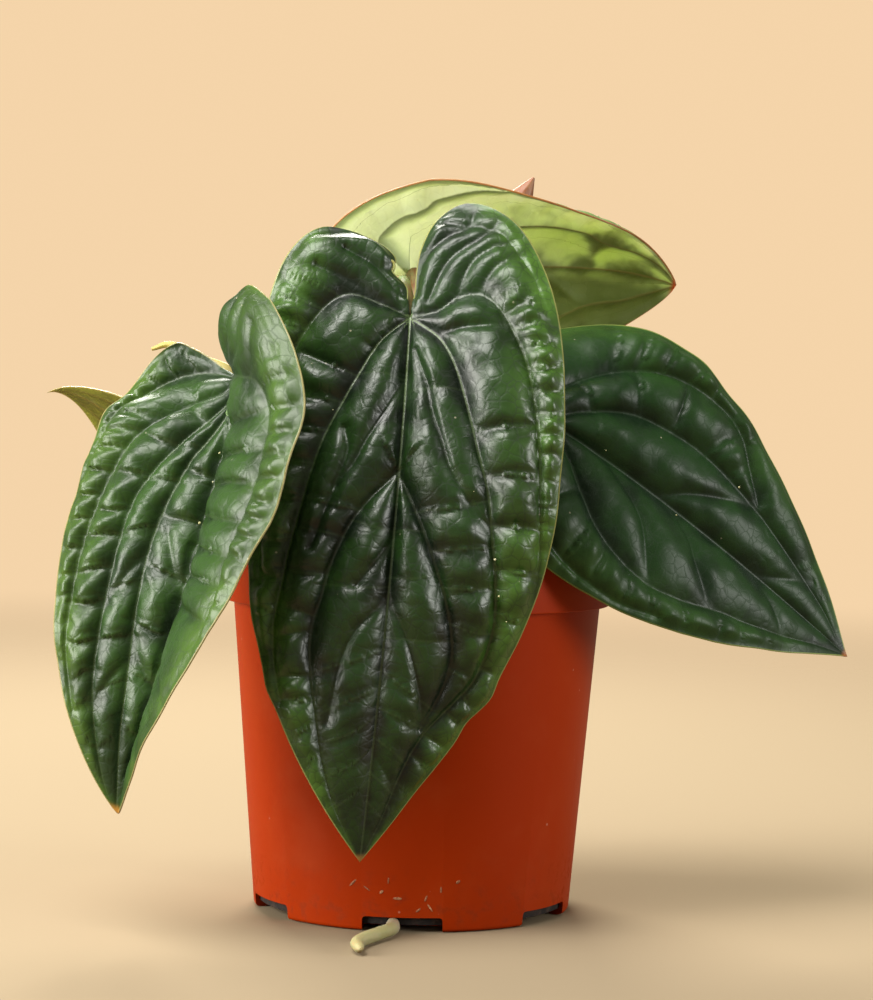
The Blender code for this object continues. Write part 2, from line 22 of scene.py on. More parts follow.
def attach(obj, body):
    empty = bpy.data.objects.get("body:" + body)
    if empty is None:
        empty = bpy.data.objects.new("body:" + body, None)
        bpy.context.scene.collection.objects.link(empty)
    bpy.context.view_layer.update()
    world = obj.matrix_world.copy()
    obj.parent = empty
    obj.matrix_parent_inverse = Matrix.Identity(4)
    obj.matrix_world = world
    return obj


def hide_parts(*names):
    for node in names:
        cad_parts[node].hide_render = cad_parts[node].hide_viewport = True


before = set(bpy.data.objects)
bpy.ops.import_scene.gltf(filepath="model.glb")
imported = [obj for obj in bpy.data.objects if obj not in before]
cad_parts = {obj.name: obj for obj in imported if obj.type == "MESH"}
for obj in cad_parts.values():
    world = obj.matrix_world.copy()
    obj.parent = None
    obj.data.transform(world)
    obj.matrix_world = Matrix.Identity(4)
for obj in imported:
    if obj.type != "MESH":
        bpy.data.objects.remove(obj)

Colour = tuple[float, float, float]
Point = tuple[float, float, float]
Flat = tuple[float, float]
Trio = tuple[float, float, float]
BMesh = bmesh.types.BMesh
Node = bpy.types.Node
Socket = bpy.types.NodeSocket

log = logging.getLogger("anthurium")

MM = 0.001
ROUND = 6.28                  # about a full turn, in radians
BODY = "root"

# The pot's sizes, as the part has them
POT_BASE_RADIUS = 0.0492
POT_NECK_RADIUS = 0.0571
RIM_RADIUS = 0.0600
RIM_FLARE = 0.0006
RIM_BOTTOM = 0.0952
POT_HEIGHT = 0.1125
WALL = 0.0012
FLOOR = 0.0018
SLOT_COUNT = 6
SLOT_FIRST_ANGLE = -93.0
SLOT_WIDTH = 0.024
SLOT_HEIGHT = 0.0046
SLOT_DEPTH = 0.0095
SOIL_TOP = 0.0985
CROWN_RADIUS = 0.0125
CROWN_BOTTOM = 0.0600
CROWN_TOP = 0.1200


class Shade:
    """Short calls that add nodes to one node tree and join them."""

    def __init__(self, tree: bpy.types.NodeTree) -> None:
        """Work on this tree."""
        self.tree = tree

    def put(self, socket: Socket, value: object) -> None:
        """Join a socket to an input, or set the input to a value.

        Args:
            socket: The input.
            value: A socket, a number, a vector, or a colour without its alpha.
        """
        if isinstance(value, Socket):
            self.tree.links.new(value, socket)
        elif socket.type == "RGBA" and len(value) == 3:
            socket.default_value = (*value, 1.0)
        else:
            socket.default_value = value

    def add(self, kind: str, inputs: dict | None = None, **settings: object) -> Node:
        """Add a node.

        Args:
            kind: The node's type.
            inputs: Values or sockets by the input's name or number.
            settings: The node's own properties.

        Returns:
            The node.
        """
        node = self.tree.nodes.new(kind)
        for name, value in settings.items():
            setattr(node, name, value)
        for key, value in (inputs or {}).items():
            self.put(node.inputs[key], value)
        return node

    def calc(self, operation: str, a: object, b: object = 0.0) -> Socket:
        """Add a math node and return its result."""
        return self.add("ShaderNodeMath", {0: a, 1: b}, operation=operation).outputs[0]

    def ease(self, value: object, low: float, high: float, start: float = 0.0,
             end: float = 1.0) -> Socket:
        """Carry a value smoothly from one range to another.

        Args:
            value: What is read.
            low: Where the ramp starts.
            high: Where the ramp ends.
            start: The result at or before the start.
            end: The result at or past the end.

        Returns:
            The result socket.
        """
        inputs = {0: value, 1: low, 2: high, 3: start, 4: end}
        return self.add("ShaderNodeMapRange", inputs, interpolation_type="SMOOTHSTEP").outputs[0]

    def vector(self, operation: str, a: object, b: object) -> Socket:
        """Add a vector math node and return its vector."""
        return self.add("ShaderNodeVectorMath", {0: a, 1: b}, operation=operation).outputs[0]

    def blend(self, share: object, a: object, b: object) -> Socket:
        """Mix two colours by a share and return the result."""
        return self.add("ShaderNodeMix", {0: share, 6: a, 7: b}, data_type="RGBA").outputs[2]

    def tint(self, base: object, mask: object, share: object, colour: object) -> Socket:
        """Lay a colour over a base by a share of a mask and return the result."""
        return self.blend(self.calc("MULTIPLY", mask, share), base, colour)

    def noise(self, place: object, scale: object, detail: float, rough: float = 0.5) -> Socket:
        """Add a noise pattern and return its value."""
        inputs = {"Vector": place, "Scale": scale, "Detail": detail, "Roughness": rough}
        return self.add("ShaderNodeTexNoise", inputs).outputs[0]

    def cells(self, place: object, scale: object, feature: str) -> Socket:
        """Add a cell pattern and return its distance."""
        node = self.add("ShaderNodeTexVoronoi", {"Vector": place, "Scale": scale}, feature=feature)
        return node.outputs["Distance"]

    def thin(self, signed: object, plain: object, width: float) -> Socket:
        """Mask a thin line, which runs where a signed distance passes zero near a small plain one."""
        near = self.ease(self.calc("ABSOLUTE", signed), 0.35 * width, width, 1.0, 0.0)
        return self.calc("MULTIPLY", near, self.ease(plain, 1.2, 1.8, 1.0, 0.0))

    def attribute(self, name: str) -> Socket:
        """Read a mesh attribute as a vector."""
        return self.add("ShaderNodeAttribute", attribute_name=name).outputs["Vector"]

    def place(self) -> Socket:
        """Read the object's own coordinates."""
        return self.add("ShaderNodeTexCoord").outputs["Object"]

    def split(self, vector: Socket) -> list[Socket]:
        """Take a vector apart into its three values."""
        return list(self.add("ShaderNodeSeparateXYZ", {0: vector}).outputs)

    def bump(self, height: object, depth: float, strength: float = 1.0) -> Socket:
        """Turn a height from 0 to 1 into a normal; the depth is in metres."""
        inputs = {"Strength": strength, "Distance": depth, "Height": height}
        return self.add("ShaderNodeBump", inputs).outputs[0]

    def dress(self, shader: Node, colour: object, rough: object, normal: object) -> None:
        """Join a colour, a roughness and a normal to a Principled shader."""
        for name, value in {"Base Color": colour, "Roughness": rough, "Normal": normal}.items():
            self.put(shader.inputs[name], value)


class Effect(Enum):
    """The shared shader node groups."""

    GRAIN = "fine_grain"
    CRACKLE = "leaf_crackle"
    DUST = "settled_dust"

    def tree(self) -> bpy.types.NodeTree:
        """Return the group's tree, built the first time that it is asked for."""
        found = bpy.data.node_groups.get(self.value)
        return EFFECT_BUILDERS[self]() if found is None else found

    def use(self, shade: Shade, **inputs: object) -> Node:
        """Place the group in a material, set its inputs by name and return its node."""
        return shade.add("ShaderNodeGroup", inputs, node_tree=self.tree())


def new_group(effect: Effect, inputs: Sequence[str],
              outputs: Sequence[str]) -> tuple[Shade, Sequence[Socket], Node]:
    """Start a shader node group.

    Args:
        effect: The effect that it makes.
        inputs: The names of its inputs: the first is a vector, the others are plain values.
        outputs: The names of its outputs, all plain values.

    Returns:
        The group's node helper, the sockets that its inputs come from, and its output node.
    """
    tree = bpy.data.node_groups.new(effect.value, "ShaderNodeTree")
    for i, name in enumerate(inputs):
        kind = "NodeSocketFloat" if i else "NodeSocketVector"
        tree.interface.new_socket(name=name, in_out="INPUT", socket_type=kind)
    for name in outputs:
        tree.interface.new_socket(name=name, in_out="OUTPUT", socket_type="NodeSocketFloat")
    shade = Shade(tree)
    return shade, shade.add("NodeGroupInput").outputs, shade.add("NodeGroupOutput")


def grain_group() -> bpy.types.NodeTree:
    """Build fine moulded or fibrous grain at two scales.

    Returns:
        A group that puts out a fine height and a broad, soft mottle.
    """
    shade, given, end = new_group(Effect.GRAIN, ("Place", "Scale"), ("Height", "Mottle"))
    place, scale = given["Place"], given["Scale"]
    broad = shade.noise(place, shade.calc("MULTIPLY", scale, 0.08), 3.0)
    shade.put(end.inputs["Height"], shade.noise(place, scale, 4.0, 0.6))
    shade.put(end.inputs["Mottle"], shade.ease(broad, 0.32, 0.68))
    return shade.tree


def crackle_group() -> bpy.types.NodeTree:
    """Build the fine net of wrinkles on a blade, in flat-leaf millimetres.

    Returns:
        A group that puts out the net's height, its lines and a broad mottle.
    """
    shade, given, end = new_group(Effect.CRACKLE, ("Flat", "Cell"), ("Height", "Lines", "Mottle"))
    flat = given["Flat"]
    bend = shade.add("ShaderNodeTexNoise", {"Vector": flat, "Scale": 0.30, "Detail": 2.0}).outputs["Color"]
    moved = shade.vector("ADD", flat, shade.vector("MULTIPLY", bend, (1.7, 1.7, 0.0)))
    scale = shade.calc("DIVIDE", 1.0, given["Cell"])
    edge = shade.cells(moved, scale, "DISTANCE_TO_EDGE")
    small = shade.cells(moved, shade.calc("MULTIPLY", scale, 2.3), "DISTANCE_TO_EDGE")
    pillow = shade.ease(edge, 0.0, 0.17)
    little = shade.ease(small, 0.0, 0.20)
    wrinkle = shade.noise(shade.vector("MULTIPLY", moved, (0.55, 1.25, 0.0)), 0.70, 3.0, 0.55)
    height = shade.calc("ADD", shade.calc("MULTIPLY", pillow, 0.74), shade.calc("MULTIPLY", little, 0.06))
    height = shade.calc("ADD", height, shade.calc("MULTIPLY", wrinkle, 0.20))
    shade.put(end.inputs["Height"], height)
    shade.put(end.inputs["Lines"], shade.ease(edge, 0.0, 0.07, 1.0, 0.0))
    shade.put(end.inputs["Mottle"], shade.ease(shade.noise(flat, 0.07, 3.0), 0.34, 0.66))
    return shade.tree


def dust_group() -> bpy.types.NodeTree:
    """Build small pale specks scattered over a surface.

    Returns:
        A group that puts out the specks' mask.
    """
    shade, given, end = new_group(Effect.DUST, ("Place", "Scale"), ("Mask",))
    place, scale = given["Place"], given["Scale"]
    few = shade.ease(shade.noise(place, shade.calc("MULTIPLY", scale, 0.35), 1.0), 0.60, 0.66)
    speck = shade.ease(shade.cells(place, scale, "F1"), 0.06, 0.10, 1.0, 0.0)
    shade.put(end.inputs["Mask"], shade.calc("MULTIPLY", few, speck))
    return shade.tree


EFFECT_BUILDERS = {Effect.GRAIN: grain_group, Effect.CRACKLE: crackle_group, Effect.DUST: dust_group}


def new_material(name: str) -> tuple[bpy.types.Material, Shade, Node]:
    """Start a material.

    Args:
        name: The material's name.

    Returns:
        The material, its node helper and its Principled shader.
    """
    material = bpy.data.materials.new(name)
    material.use_nodes = True
    return material, Shade(material.node_tree), material.node_tree.nodes["Principled BSDF"]


CRACKLE_CELL = 3.2                 # size of the cells of the leaves' fine net, mm
RUNG_WIDTH = 0.5                   # width of the colour on a cross vein, mm
ROUGH_SWING = 0.12                 # how much duller the net's lines and the dull patches of a leaf are
# The colour of the painted sheen that lightens a blade's lobes
LOBE_SHEEN_COLOUR = (0.76, 0.84, 0.60)
LEAF_DUST = (0.55, 0.50, 0.36)
SKIN_DEPTH = 0.0015                # how deep light goes into a leaf or the pot


@dataclass(frozen=True)
class LeafFinish:
    """The skin of one side of a blade.

    The colours run from deep to bright and a mottle mixes them at random. The deep colour is also painted
    shade: in the valleys between the pillows, in the grooves of the fine net and, where the finish asks for
    it, beside the long veins and over the right half. The bright colour is painted light on the outer band
    near the margin.
    """

    name: str
    deep: Colour
    mid: Colour
    bright: Colour
    vein: Colour
    margin: Colour
    tip: Colour
    roughness: float = 0.34
    wrinkle: float = 0.000045     # depth of the fine net and its wrinkles
    net_groove_shade: float = 0.10       # how dark the painted shade in the grooves of the fine net is
    vein_share: float = 0.60      # how pale the long veins are by the notch
    far_share: float = 0.12       # and far from it
    rung_share: float = 0.04
    vein_width: float = 0.42
    subsurface: float = 0.0
    painted_vein_shade: float = 0.0           # painted shade on the inner side of each long vein
    painted_half_shade: float = 0.0       # painted shade over the right half
    painted_sheen: float = 0.0           # how strongly a painted sheen lightens the lobes
    specular: float = 0.55

    def build(self) -> bpy.types.Material:
        """Build the material from the attributes that the blade carries.

        Returns:
            The material.
        """
        material, shade, shader = new_material(self.name)
        flat = shade.attribute("flat")
        across, _, lift = shade.split(flat)[:3]
        vein, rung, edge = shade.split(shade.attribute("lines"))[:3]
        from_vein, from_rung, weight = shade.split(shade.attribute("sizes"))[:3]
        tip, pale, share = shade.split(shade.attribute("zones"))[:3]
        crackle = Effect.CRACKLE.use(shade, Flat=flat, Cell=CRACKLE_CELL)
        net, mottle = crackle.outputs["Lines"], crackle.outputs["Mottle"]
        # Painted shade: the pillows' lift mixes the deep colour into the valleys and the mid colour onto the
        # crests.
        base = shade.blend(shade.ease(shade.calc("ADD", mottle, lift), 0.3, 1.5), self.deep, self.mid)
        # Painted light: the bright colour lightens the outer band near the margin, by a random share.
        base = shade.tint(base, shade.ease(share, 0.50, 0.95), shade.ease(mottle, 0.0, 1.0, 0.4), self.bright)
        # Painted sheen: the lobes by the notch are tinted pale and silvery.
        base = shade.tint(base, shade.ease(pale, 0.25, 0.9), self.painted_sheen, LOBE_SHEEN_COLOUR)
        if self.painted_vein_shade > 0:
            # Painted shade: the deep colour darkens the inner side of each long vein and the right half.
            inner = shade.calc("MULTIPLY", shade.ease(vein, -6.0, -0.3), shade.ease(vein, 0.0, 0.3, 1.0, 0.0))
            base = shade.tint(base, inner, self.painted_vein_shade, self.deep)
            base = shade.tint(base, shade.ease(across, 0.0, 8.0), self.painted_half_shade, self.deep)
        # Painted shade in the grooves of the fine net.
        base = shade.tint(base, net, self.net_groove_shade, self.deep)
        base = shade.tint(base, shade.thin(rung, from_rung, RUNG_WIDTH), self.rung_share, self.vein)
        strength = shade.ease(pale, 0.3, 0.95, self.far_share, self.vein_share)
        strength = shade.calc("MULTIPLY", strength, weight)
        base = shade.tint(base, shade.thin(vein, from_vein, self.vein_width), strength, self.vein)
        base = shade.blend(shade.ease(edge, 0.15, 0.55, 0.85, 0.0), base, self.margin)
        base = shade.blend(tip, base, self.tip)
        dust = Effect.DUST.use(shade, Place=flat, Scale=0.28)
        base = shade.tint(base, dust.outputs["Mask"], 0.4, LEAF_DUST)
        rough = shade.calc("MULTIPLY", net, ROUGH_SWING)
        rough = shade.calc("ADD", rough, shade.calc("MULTIPLY", shade.noise(flat, 0.4, 3.0), ROUGH_SWING))
        rough = shade.calc("ADD", rough, self.roughness - 0.5 * ROUGH_SWING)
        shade.dress(shader, base, rough, shade.bump(crackle.outputs["Height"], self.wrinkle))
        shader.inputs["Specular IOR Level"].default_value = self.specular
        if self.subsurface > 0:
            shader.inputs["Subsurface Weight"].default_value = self.subsurface
            shader.inputs["Subsurface Radius"].default_value = (1.0, 1.0, 0.8)
            shader.inputs["Subsurface Scale"].default_value = SKIN_DEPTH
        return material


@dataclass(frozen=True)
class StemFinish:
    """The skin of a stalk, a furled leaf or a root, which changes along its length."""

    name: str
    base: Colour
    middle: Colour
    end: Colour
    streak: Colour
    roughness: float = 0.42
    base_ends: float = 0.12
    end_starts: float = 0.88
    streaks: float = 1.0

    def build(self) -> bpy.types.Material:
        """Build the material; the attribute stem holds the share of the length and the turn.

        Returns:
            The material.
        """
        material, shade, shader = new_material(self.name)
        along, turn = shade.split(shade.attribute("stem"))[:2]
        colour = shade.blend(shade.ease(along, 0.4 * self.base_ends, self.base_ends), self.base, self.middle)
        colour = shade.blend(shade.ease(along, self.end_starts - 0.06, self.end_starts), colour, self.end)
        lane = shade.add("ShaderNodeCombineXYZ", {0: shade.calc("MULTIPLY", along, 6.0), 1: turn}).outputs[0]
        streak = shade.ease(shade.noise(lane, 3.0, 4.0), 0.42, 0.72)
        colour = shade.tint(colour, streak, 0.6 * self.streaks, self.streak)
        grain = Effect.GRAIN.use(shade, Place=shade.place(), Scale=900.0)
        colour = shade.tint(colour, grain.outputs["Mottle"], 0.25, self.streak)
        rough = shade.ease(streak, 0.0, 1.0, self.roughness, self.roughness + 0.15)
        shade.dress(shader, colour, rough, shade.bump(grain.outputs["Height"], 0.00006))
        shader.inputs["Subsurface Weight"].default_value = 0.15
        shader.inputs["Subsurface Scale"].default_value = 0.0012
        return material


@dataclass(frozen=True)
class EarthFinish:
    """A dull, broken surface: peat, bark, wood fibre or perlite."""

    name: str
    dark: Colour
    light: Colour
    scale: float = 700.0
    depth: float = 0.0004
    roughness: float = 0.9

    def build(self) -> bpy.types.Material:
        """Build the material.

        Returns:
            The material.
        """
        material, shade, shader = new_material(self.name)
        place = shade.place()
        grain = Effect.GRAIN.use(shade, Place=place, Scale=self.scale)
        speck = shade.ease(shade.noise(place, 0.35 * self.scale, 3.0, 0.65), 0.45, 0.70)
        colour = shade.blend(speck, self.dark, self.light)
        rough = shade.ease(grain.outputs["Mottle"], 0.0, 1.0, self.roughness - 0.12, self.roughness)
        shade.dress(shader, colour, rough, shade.bump(grain.outputs["Height"], self.depth))
        return material


@dataclass(frozen=True)
class PlasticFinish:
    """Satin moulded plastic with faint flow marks, smudges and settled dust."""

    name: str
    colour: Colour
    dusty: Colour
    darker_foot: Colour
    speck: Colour
    roughness: float

    def build(self) -> bpy.types.Material:
        """Build the material.

        Returns:
            The material.
        """
        material, shade, shader = new_material(self.name)
        place = shade.place()
        grain = Effect.GRAIN.use(shade, Place=place, Scale=1500.0)
        smudge = shade.ease(shade.noise(place, 38.0, 5.0, 0.62), 0.50, 0.78)
        # Mottled patches of a darker, duller colour towards the bottom of the pot.
        low = shade.ease(shade.split(place)[2], 0.004, 0.026, 1.0, 0.0)
        darker_foot = shade.calc("MULTIPLY", low, shade.ease(shade.noise(place, 260.0, 6.0, 0.7), 0.50, 0.66))
        colour = shade.tint(self.colour, smudge, 0.10, self.dusty)
        colour = shade.tint(colour, darker_foot, 0.30, self.darker_foot)
        dust = Effect.DUST.use(shade, Place=place, Scale=210.0)
        colour = shade.tint(colour, dust.outputs["Mask"], 0.35, self.speck)
        rough = shade.calc("ADD", shade.calc("MULTIPLY", smudge, 0.10), self.roughness)
        rough = shade.calc("ADD", rough, shade.calc("MULTIPLY", darker_foot, 0.3))
        shade.dress(shader, colour, rough, shade.bump(grain.outputs["Height"], 0.00003, 0.6))
        shader.inputs["Specular IOR Level"].default_value = 0.12
        shader.inputs["Subsurface Weight"].default_value = 0.08
        shader.inputs["Subsurface Scale"].default_value = SKIN_DEPTH
        return material


DARK_TOP = LeafFinish(
    "leaf_front_top", deep=(0.003, 0.009, 0.003), mid=(0.012, 0.037, 0.006), bright=(0.056, 0.132, 0.016),
    vein=(0.20, 0.30, 0.11), margin=(0.30, 0.30, 0.09), tip=(0.28, 0.15, 0.03), roughness=0.34,
    net_groove_shade=0.38, specular=0.54)
MID_TOP = LeafFinish(
    "leaf_left_top", deep=(0.009, 0.026, 0.005), mid=(0.022, 0.060, 0.008), bright=(0.050, 0.104, 0.012),
    vein=(0.16, 0.24, 0.09), margin=(0.34, 0.30, 0.12), tip=(0.40, 0.20, 0.03), vein_share=0.35,
    roughness=0.37, net_groove_shade=0.35, specular=0.46)
DEEP_TOP = LeafFinish(
    "leaf_right_top", deep=(0.005, 0.016, 0.005), mid=(0.011, 0.037, 0.008), bright=(0.027, 0.072, 0.013),
    vein=(0.06, 0.11, 0.05), margin=(0.26, 0.32, 0.08), tip=(0.30, 0.10, 0.02), roughness=0.40,
    wrinkle=0.00002, vein_share=0.3, net_groove_shade=0.15, specular=0.26)
PALE_TOP = LeafFinish(
    "leaf_back_top", deep=(0.060, 0.135, 0.020), mid=(0.100, 0.200, 0.032), bright=(0.165, 0.265, 0.055),
    vein=(0.28, 0.36, 0.13), margin=(0.30, 0.10, 0.03), tip=(0.30, 0.10, 0.02), subsurface=0.5)
OLIVE_TOP = LeafFinish(
    "leaf_young_top", deep=(0.13, 0.14, 0.012), mid=(0.20, 0.20, 0.018), bright=(0.28, 0.30, 0.03),
    vein=(0.26, 0.20, 0.04), margin=(0.26, 0.20, 0.05), tip=(0.24, 0.18, 0.05), subsurface=0.4,
    wrinkle=0.00006)
GREEN_BELOW = LeafFinish(
    "leaf_underside", deep=(0.10, 0.17, 0.06), mid=(0.14, 0.23, 0.08), bright=(0.17, 0.27, 0.09),
    vein=(0.26, 0.34, 0.16), margin=(0.33, 0.28, 0.08), tip=(0.28, 0.12, 0.03), roughness=0.55,
    wrinkle=0.00006, specular=0.3, rung_share=0.3, far_share=0.6)
# The back leaf's underside carries painted shade beside its veins and over its right half, and a painted
# sheen on its lobes.
PALE_BELOW = LeafFinish(
    "leaf_back_underside", deep=(0.092, 0.140, 0.022), mid=(0.46, 0.57, 0.25), bright=(0.80, 0.86, 0.60),
    vein=(0.22, 0.17, 0.06), margin=(0.34, 0.15, 0.05), tip=(0.45, 0.10, 0.02), roughness=0.46,
    wrinkle=0.00004, vein_share=0.5, far_share=0.5, vein_width=0.5, net_groove_shade=0.04, subsurface=0.85,
    specular=0.4, painted_vein_shade=0.65, painted_half_shade=0.90, painted_sheen=0.85)
OLIVE_BELOW = LeafFinish(
    "leaf_young_underside", deep=(0.08, 0.08, 0.006), mid=(0.125, 0.125, 0.009), bright=(0.19, 0.20, 0.020),
    vein=(0.22, 0.13, 0.02), margin=(0.28, 0.20, 0.05), tip=(0.24, 0.18, 0.05), roughness=0.42,
    wrinkle=0.00003, subsurface=0.4)

STALK = StemFinish(
    "stalk_skin", base=(0.16, 0.10, 0.04), middle=(0.17, 0.24, 0.06), end=(0.16, 0.05, 0.01),
    streak=(0.28, 0.34, 0.13))
YOUNG_STALK = StemFinish(
    "young_stalk_skin", base=(0.18, 0.12, 0.04), middle=(0.24, 0.22, 0.04), end=(0.28, 0.20, 0.04),
    streak=(0.34, 0.34, 0.10))
RED_ROLL = StemFinish(
    "furled_red_skin", base=(0.16, 0.10, 0.04), middle=(0.30, 0.12, 0.045), end=(0.22, 0.07, 0.030),
    streak=(0.40, 0.20, 0.10), roughness=0.45, end_starts=0.86)
OLIVE_ROLL = StemFinish(
    "furled_olive_skin", base=(0.16, 0.12, 0.04), middle=(0.19, 0.15, 0.02), end=(0.44, 0.35, 0.07),
    streak=(0.46, 0.42, 0.14), roughness=0.45, end_starts=0.80)
ROOT_SKIN = StemFinish(
    "root_skin", base=(0.42, 0.37, 0.26), middle=(0.35, 0.34, 0.14), end=(0.38, 0.33, 0.14),
    streak=(0.45, 0.41, 0.24), roughness=0.5, base_ends=0.25, streaks=0.8)
PEAT = EarthFinish("peat", dark=(0.010, 0.006, 0.004), light=(0.045, 0.024, 0.015))
CRUMB = EarthFinish("peat_crumb", dark=(0.014, 0.008, 0.006), light=(0.070, 0.038, 0.024))
CHIP = EarthFinish("bark_chip", dark=(0.060, 0.026, 0.013), light=(0.200, 0.105, 0.055), scale=420.0)
PERLITE = EarthFinish("perlite", dark=(0.50, 0.46, 0.40), light=(0.82, 0.80, 0.74), scale=500.0)
FLECK = EarthFinish("stuck_fleck", dark=(0.28, 0.10, 0.04), light=(0.52, 0.25, 0.12), scale=900.0)
SPECK = EarthFinish("leaf_speck", dark=(0.50, 0.48, 0.24), light=(0.70, 0.68, 0.48), scale=900.0)
BARK = EarthFinish(
    "crown_bark", dark=(0.050, 0.030, 0.014), light=(0.220, 0.150, 0.070), scale=520.0, roughness=0.8)
TERRACOTTA = PlasticFinish(
    "pot_plastic", colour=(0.35, 0.028, 0.0002), dusty=(0.46, 0.12, 0.03), darker_foot=(0.13, 0.025, 0.004),
    speck=(0.70, 0.45, 0.33), roughness=0.42)
CURL = StemFinish(
    "curled_edge", base=(0.20, 0.22, 0.06), middle=(0.34, 0.34, 0.11), end=(0.36, 0.36, 0.12),
    streak=(0.30, 0.36, 0.08), roughness=0.45, base_ends=0.2)


def finish_piece(piece: bpy.types.Object, replaced: Sequence[str]) -> None:
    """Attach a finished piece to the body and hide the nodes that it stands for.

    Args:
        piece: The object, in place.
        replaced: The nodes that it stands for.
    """
    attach(piece, BODY)
    if replaced:
        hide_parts(*replaced)
    log.info("%s: %d faces", piece.name, len(piece.data.polygons))


def object_from(bm: BMesh, name: str, materials: Sequence[bpy.types.Material],
                sharp: float = 50.0) -> bpy.types.Object:
    """Turn a bmesh into a smooth-shaded object.

    Args:
        bm: The bmesh, which is freed.
        name: The object's name.
        materials: Its materials, in slot order.
        sharp: Edges sharper than this many degrees stay sharp.

    Returns:
        The object, linked to the scene.
    """
    mesh = bpy.data.meshes.new(name)
    bm.to_mesh(mesh)
    bm.free()
    for material in materials:
        mesh.materials.append(material)
    mesh.shade_smooth()
    mesh.set_sharp_from_angle(angle=math.radians(sharp))
    thing = bpy.data.objects.new(name, mesh)
    bpy.context.scene.collection.objects.link(thing)
    return thing


def make_piece(bm: BMesh, name: str, finish: StemFinish | EarthFinish, node: str,
               sharp: float = 50.0) -> None:
    """Turn a bmesh into a finished piece of one material.

    Args:
        bm: The bmesh, which is freed.
        name: The piece's name.
        finish: Its finish.
        node: The node that it stands for, or nothing.
        sharp: Edges sharper than this many degrees stay sharp.
    """
    finish_piece(object_from(bm, name, [finish.build()], sharp), [node] if node else [])


def run_along(points: np.ndarray) -> np.ndarray:
    """Return how far along a line each of its points lies."""
    return np.concatenate([[0.0], np.cumsum(np.linalg.norm(np.diff(points, axis=0), axis=1))])


def read_along(stations: np.ndarray, run: np.ndarray, rows: np.ndarray) -> np.ndarray:
    """Read rows of values, known at each step of a run, at other stations of it."""
    return np.stack([np.interp(stations, run, column) for column in rows.T], axis=-1)


def curve_through(points: np.ndarray, step: float) -> np.ndarray:
    """Draw a smooth curve through a few points.

    Args:
        points: The points, one in a row.
        step: The spacing of the dense points, in the same unit.

    Returns:
        The curve's dense points.
    """
    p = [np.array(q, dtype=float) for q in points]
    p = [2 * p[0] - p[1]] + p + [2 * p[-1] - p[-2]]
    fine = []
    for i in range(1, len(p) - 2):
        for t in np.linspace(0.0, 1.0, 24, endpoint=False):
            b = p[i + 1] - p[i - 1]
            c = 2 * p[i - 1] - 5 * p[i] + 4 * p[i + 1] - p[i + 2]
            d = 3 * p[i] - p[i - 1] - 3 * p[i + 1] + p[i + 2]
            fine.append(0.5 * (2 * p[i] + b * t + c * t * t + d * t ** 3))
    fine.append(p[-2])
    run = run_along(fine)
    stations = np.linspace(0.0, run[-1], max(2, round(run[-1] / step)) + 1)
    return read_along(stations, run, np.array(fine))


def flat_tree(points: np.ndarray) -> KDTree:
    """Build a search tree of flat points.

    Args:
        points: The points.

    Returns:
        The tree, ready to search.
    """
    tree = KDTree(len(points))
    for i, (x, y) in enumerate(points):
        tree.insert((x, y, 0.0), i)
    tree.balance()
    return tree


@dataclass
class FlatLine:
    """One dense line on the flat leaf that can be asked how far a place lies from it."""

    points: np.ndarray
    weight: float = 1.0           # how strongly its colour shows

    def __post_init__(self) -> None:
        """Work out the line's directions and its search tree."""
        self.ways = np.gradient(self.points, axis=0)
        self.tree = flat_tree(self.points)

    def reach(self, flat: np.ndarray) -> np.ndarray:
        """Find how far each place lies from the line, with the sign of its side.

        Args:
            flat: The places.

        Returns:
            The distances: above zero to the left of a line that runs to the tip.
        """
        found = [self.tree.find((x, y, 0.0))[1:] for x, y in flat]
        index = np.array([i for i, _ in found])
        distance = np.array([d for _, d in found])
        away = flat - self.points[index]
        side = self.ways[index, 0] * away[:, 1] - self.ways[index, 1] * away[:, 0]
        side = side / np.linalg.norm(self.ways[index], axis=1)
        return np.where(distance < 1.5, side, np.sign(side) * distance)


def net_distance(seeds: np.ndarray, queries: np.ndarray) -> np.ndarray:
    """Find about how far each query lies from the border between its two nearest seeds.

    Args:
        seeds: The middles of the net's cells.
        queries: Places to measure from.

    Returns:
        One distance for each query.
    """
    tree = flat_tree(seeds)
    found = [tree.find_n((x, y, 0.0), 2) for x, y in queries]
    return np.array([(b[2] - a[2]) / 2 for a, b in found])


def smooth_share(value: np.ndarray, low: float, high: float) -> np.ndarray:
    """Ease from 0 at low to 1 at high."""
    t = np.clip((value - low) / (high - low), 0.0, 1.0)
    return t * t * (3 - 2 * t)


@dataclass(frozen=True)
class Half:
    """One half of a blade. Fold and curl are degrees at the lobe, the widest row and the tip.

    The lobe bends down by bend degrees. Its inner margin stays by the midline for the share
    straight of the lobe, and then runs to the apex, the straighter the larger open is.
    """

    width: float
    lobe: float
    lobe_apex: float
    bend: float
    fold: Trio
    curl: Trio
    straight: float = 0.3
    open: float = 0.0
    kinks: tuple[Trio, ...] = ()    # margin moves out: place, depth, spread
    bites: tuple[Trio, ...] = ()    # the same for the lobe's inner margin


@dataclass(frozen=True)
class BladeForm:
    """The size and pose of a blade: its midrib bends from notch by way of knee to tip."""

    notch: Point
    knee: Point
    tip: Point
    face_notch: Point
    face_tip: Point
    left: Half
    right: Half
    widest: float
    taper: tuple[float, float]
    gap: float


def swell(v: np.ndarray, waves: Sequence[Trio]) -> np.ndarray:
    """Add up smooth swellings at v, each given as its place, depth and spread."""
    waves = (depth * np.exp(-((v - place) / spread) ** 2) for place, depth, spread in waves)
    return sum(waves, np.zeros_like(v))


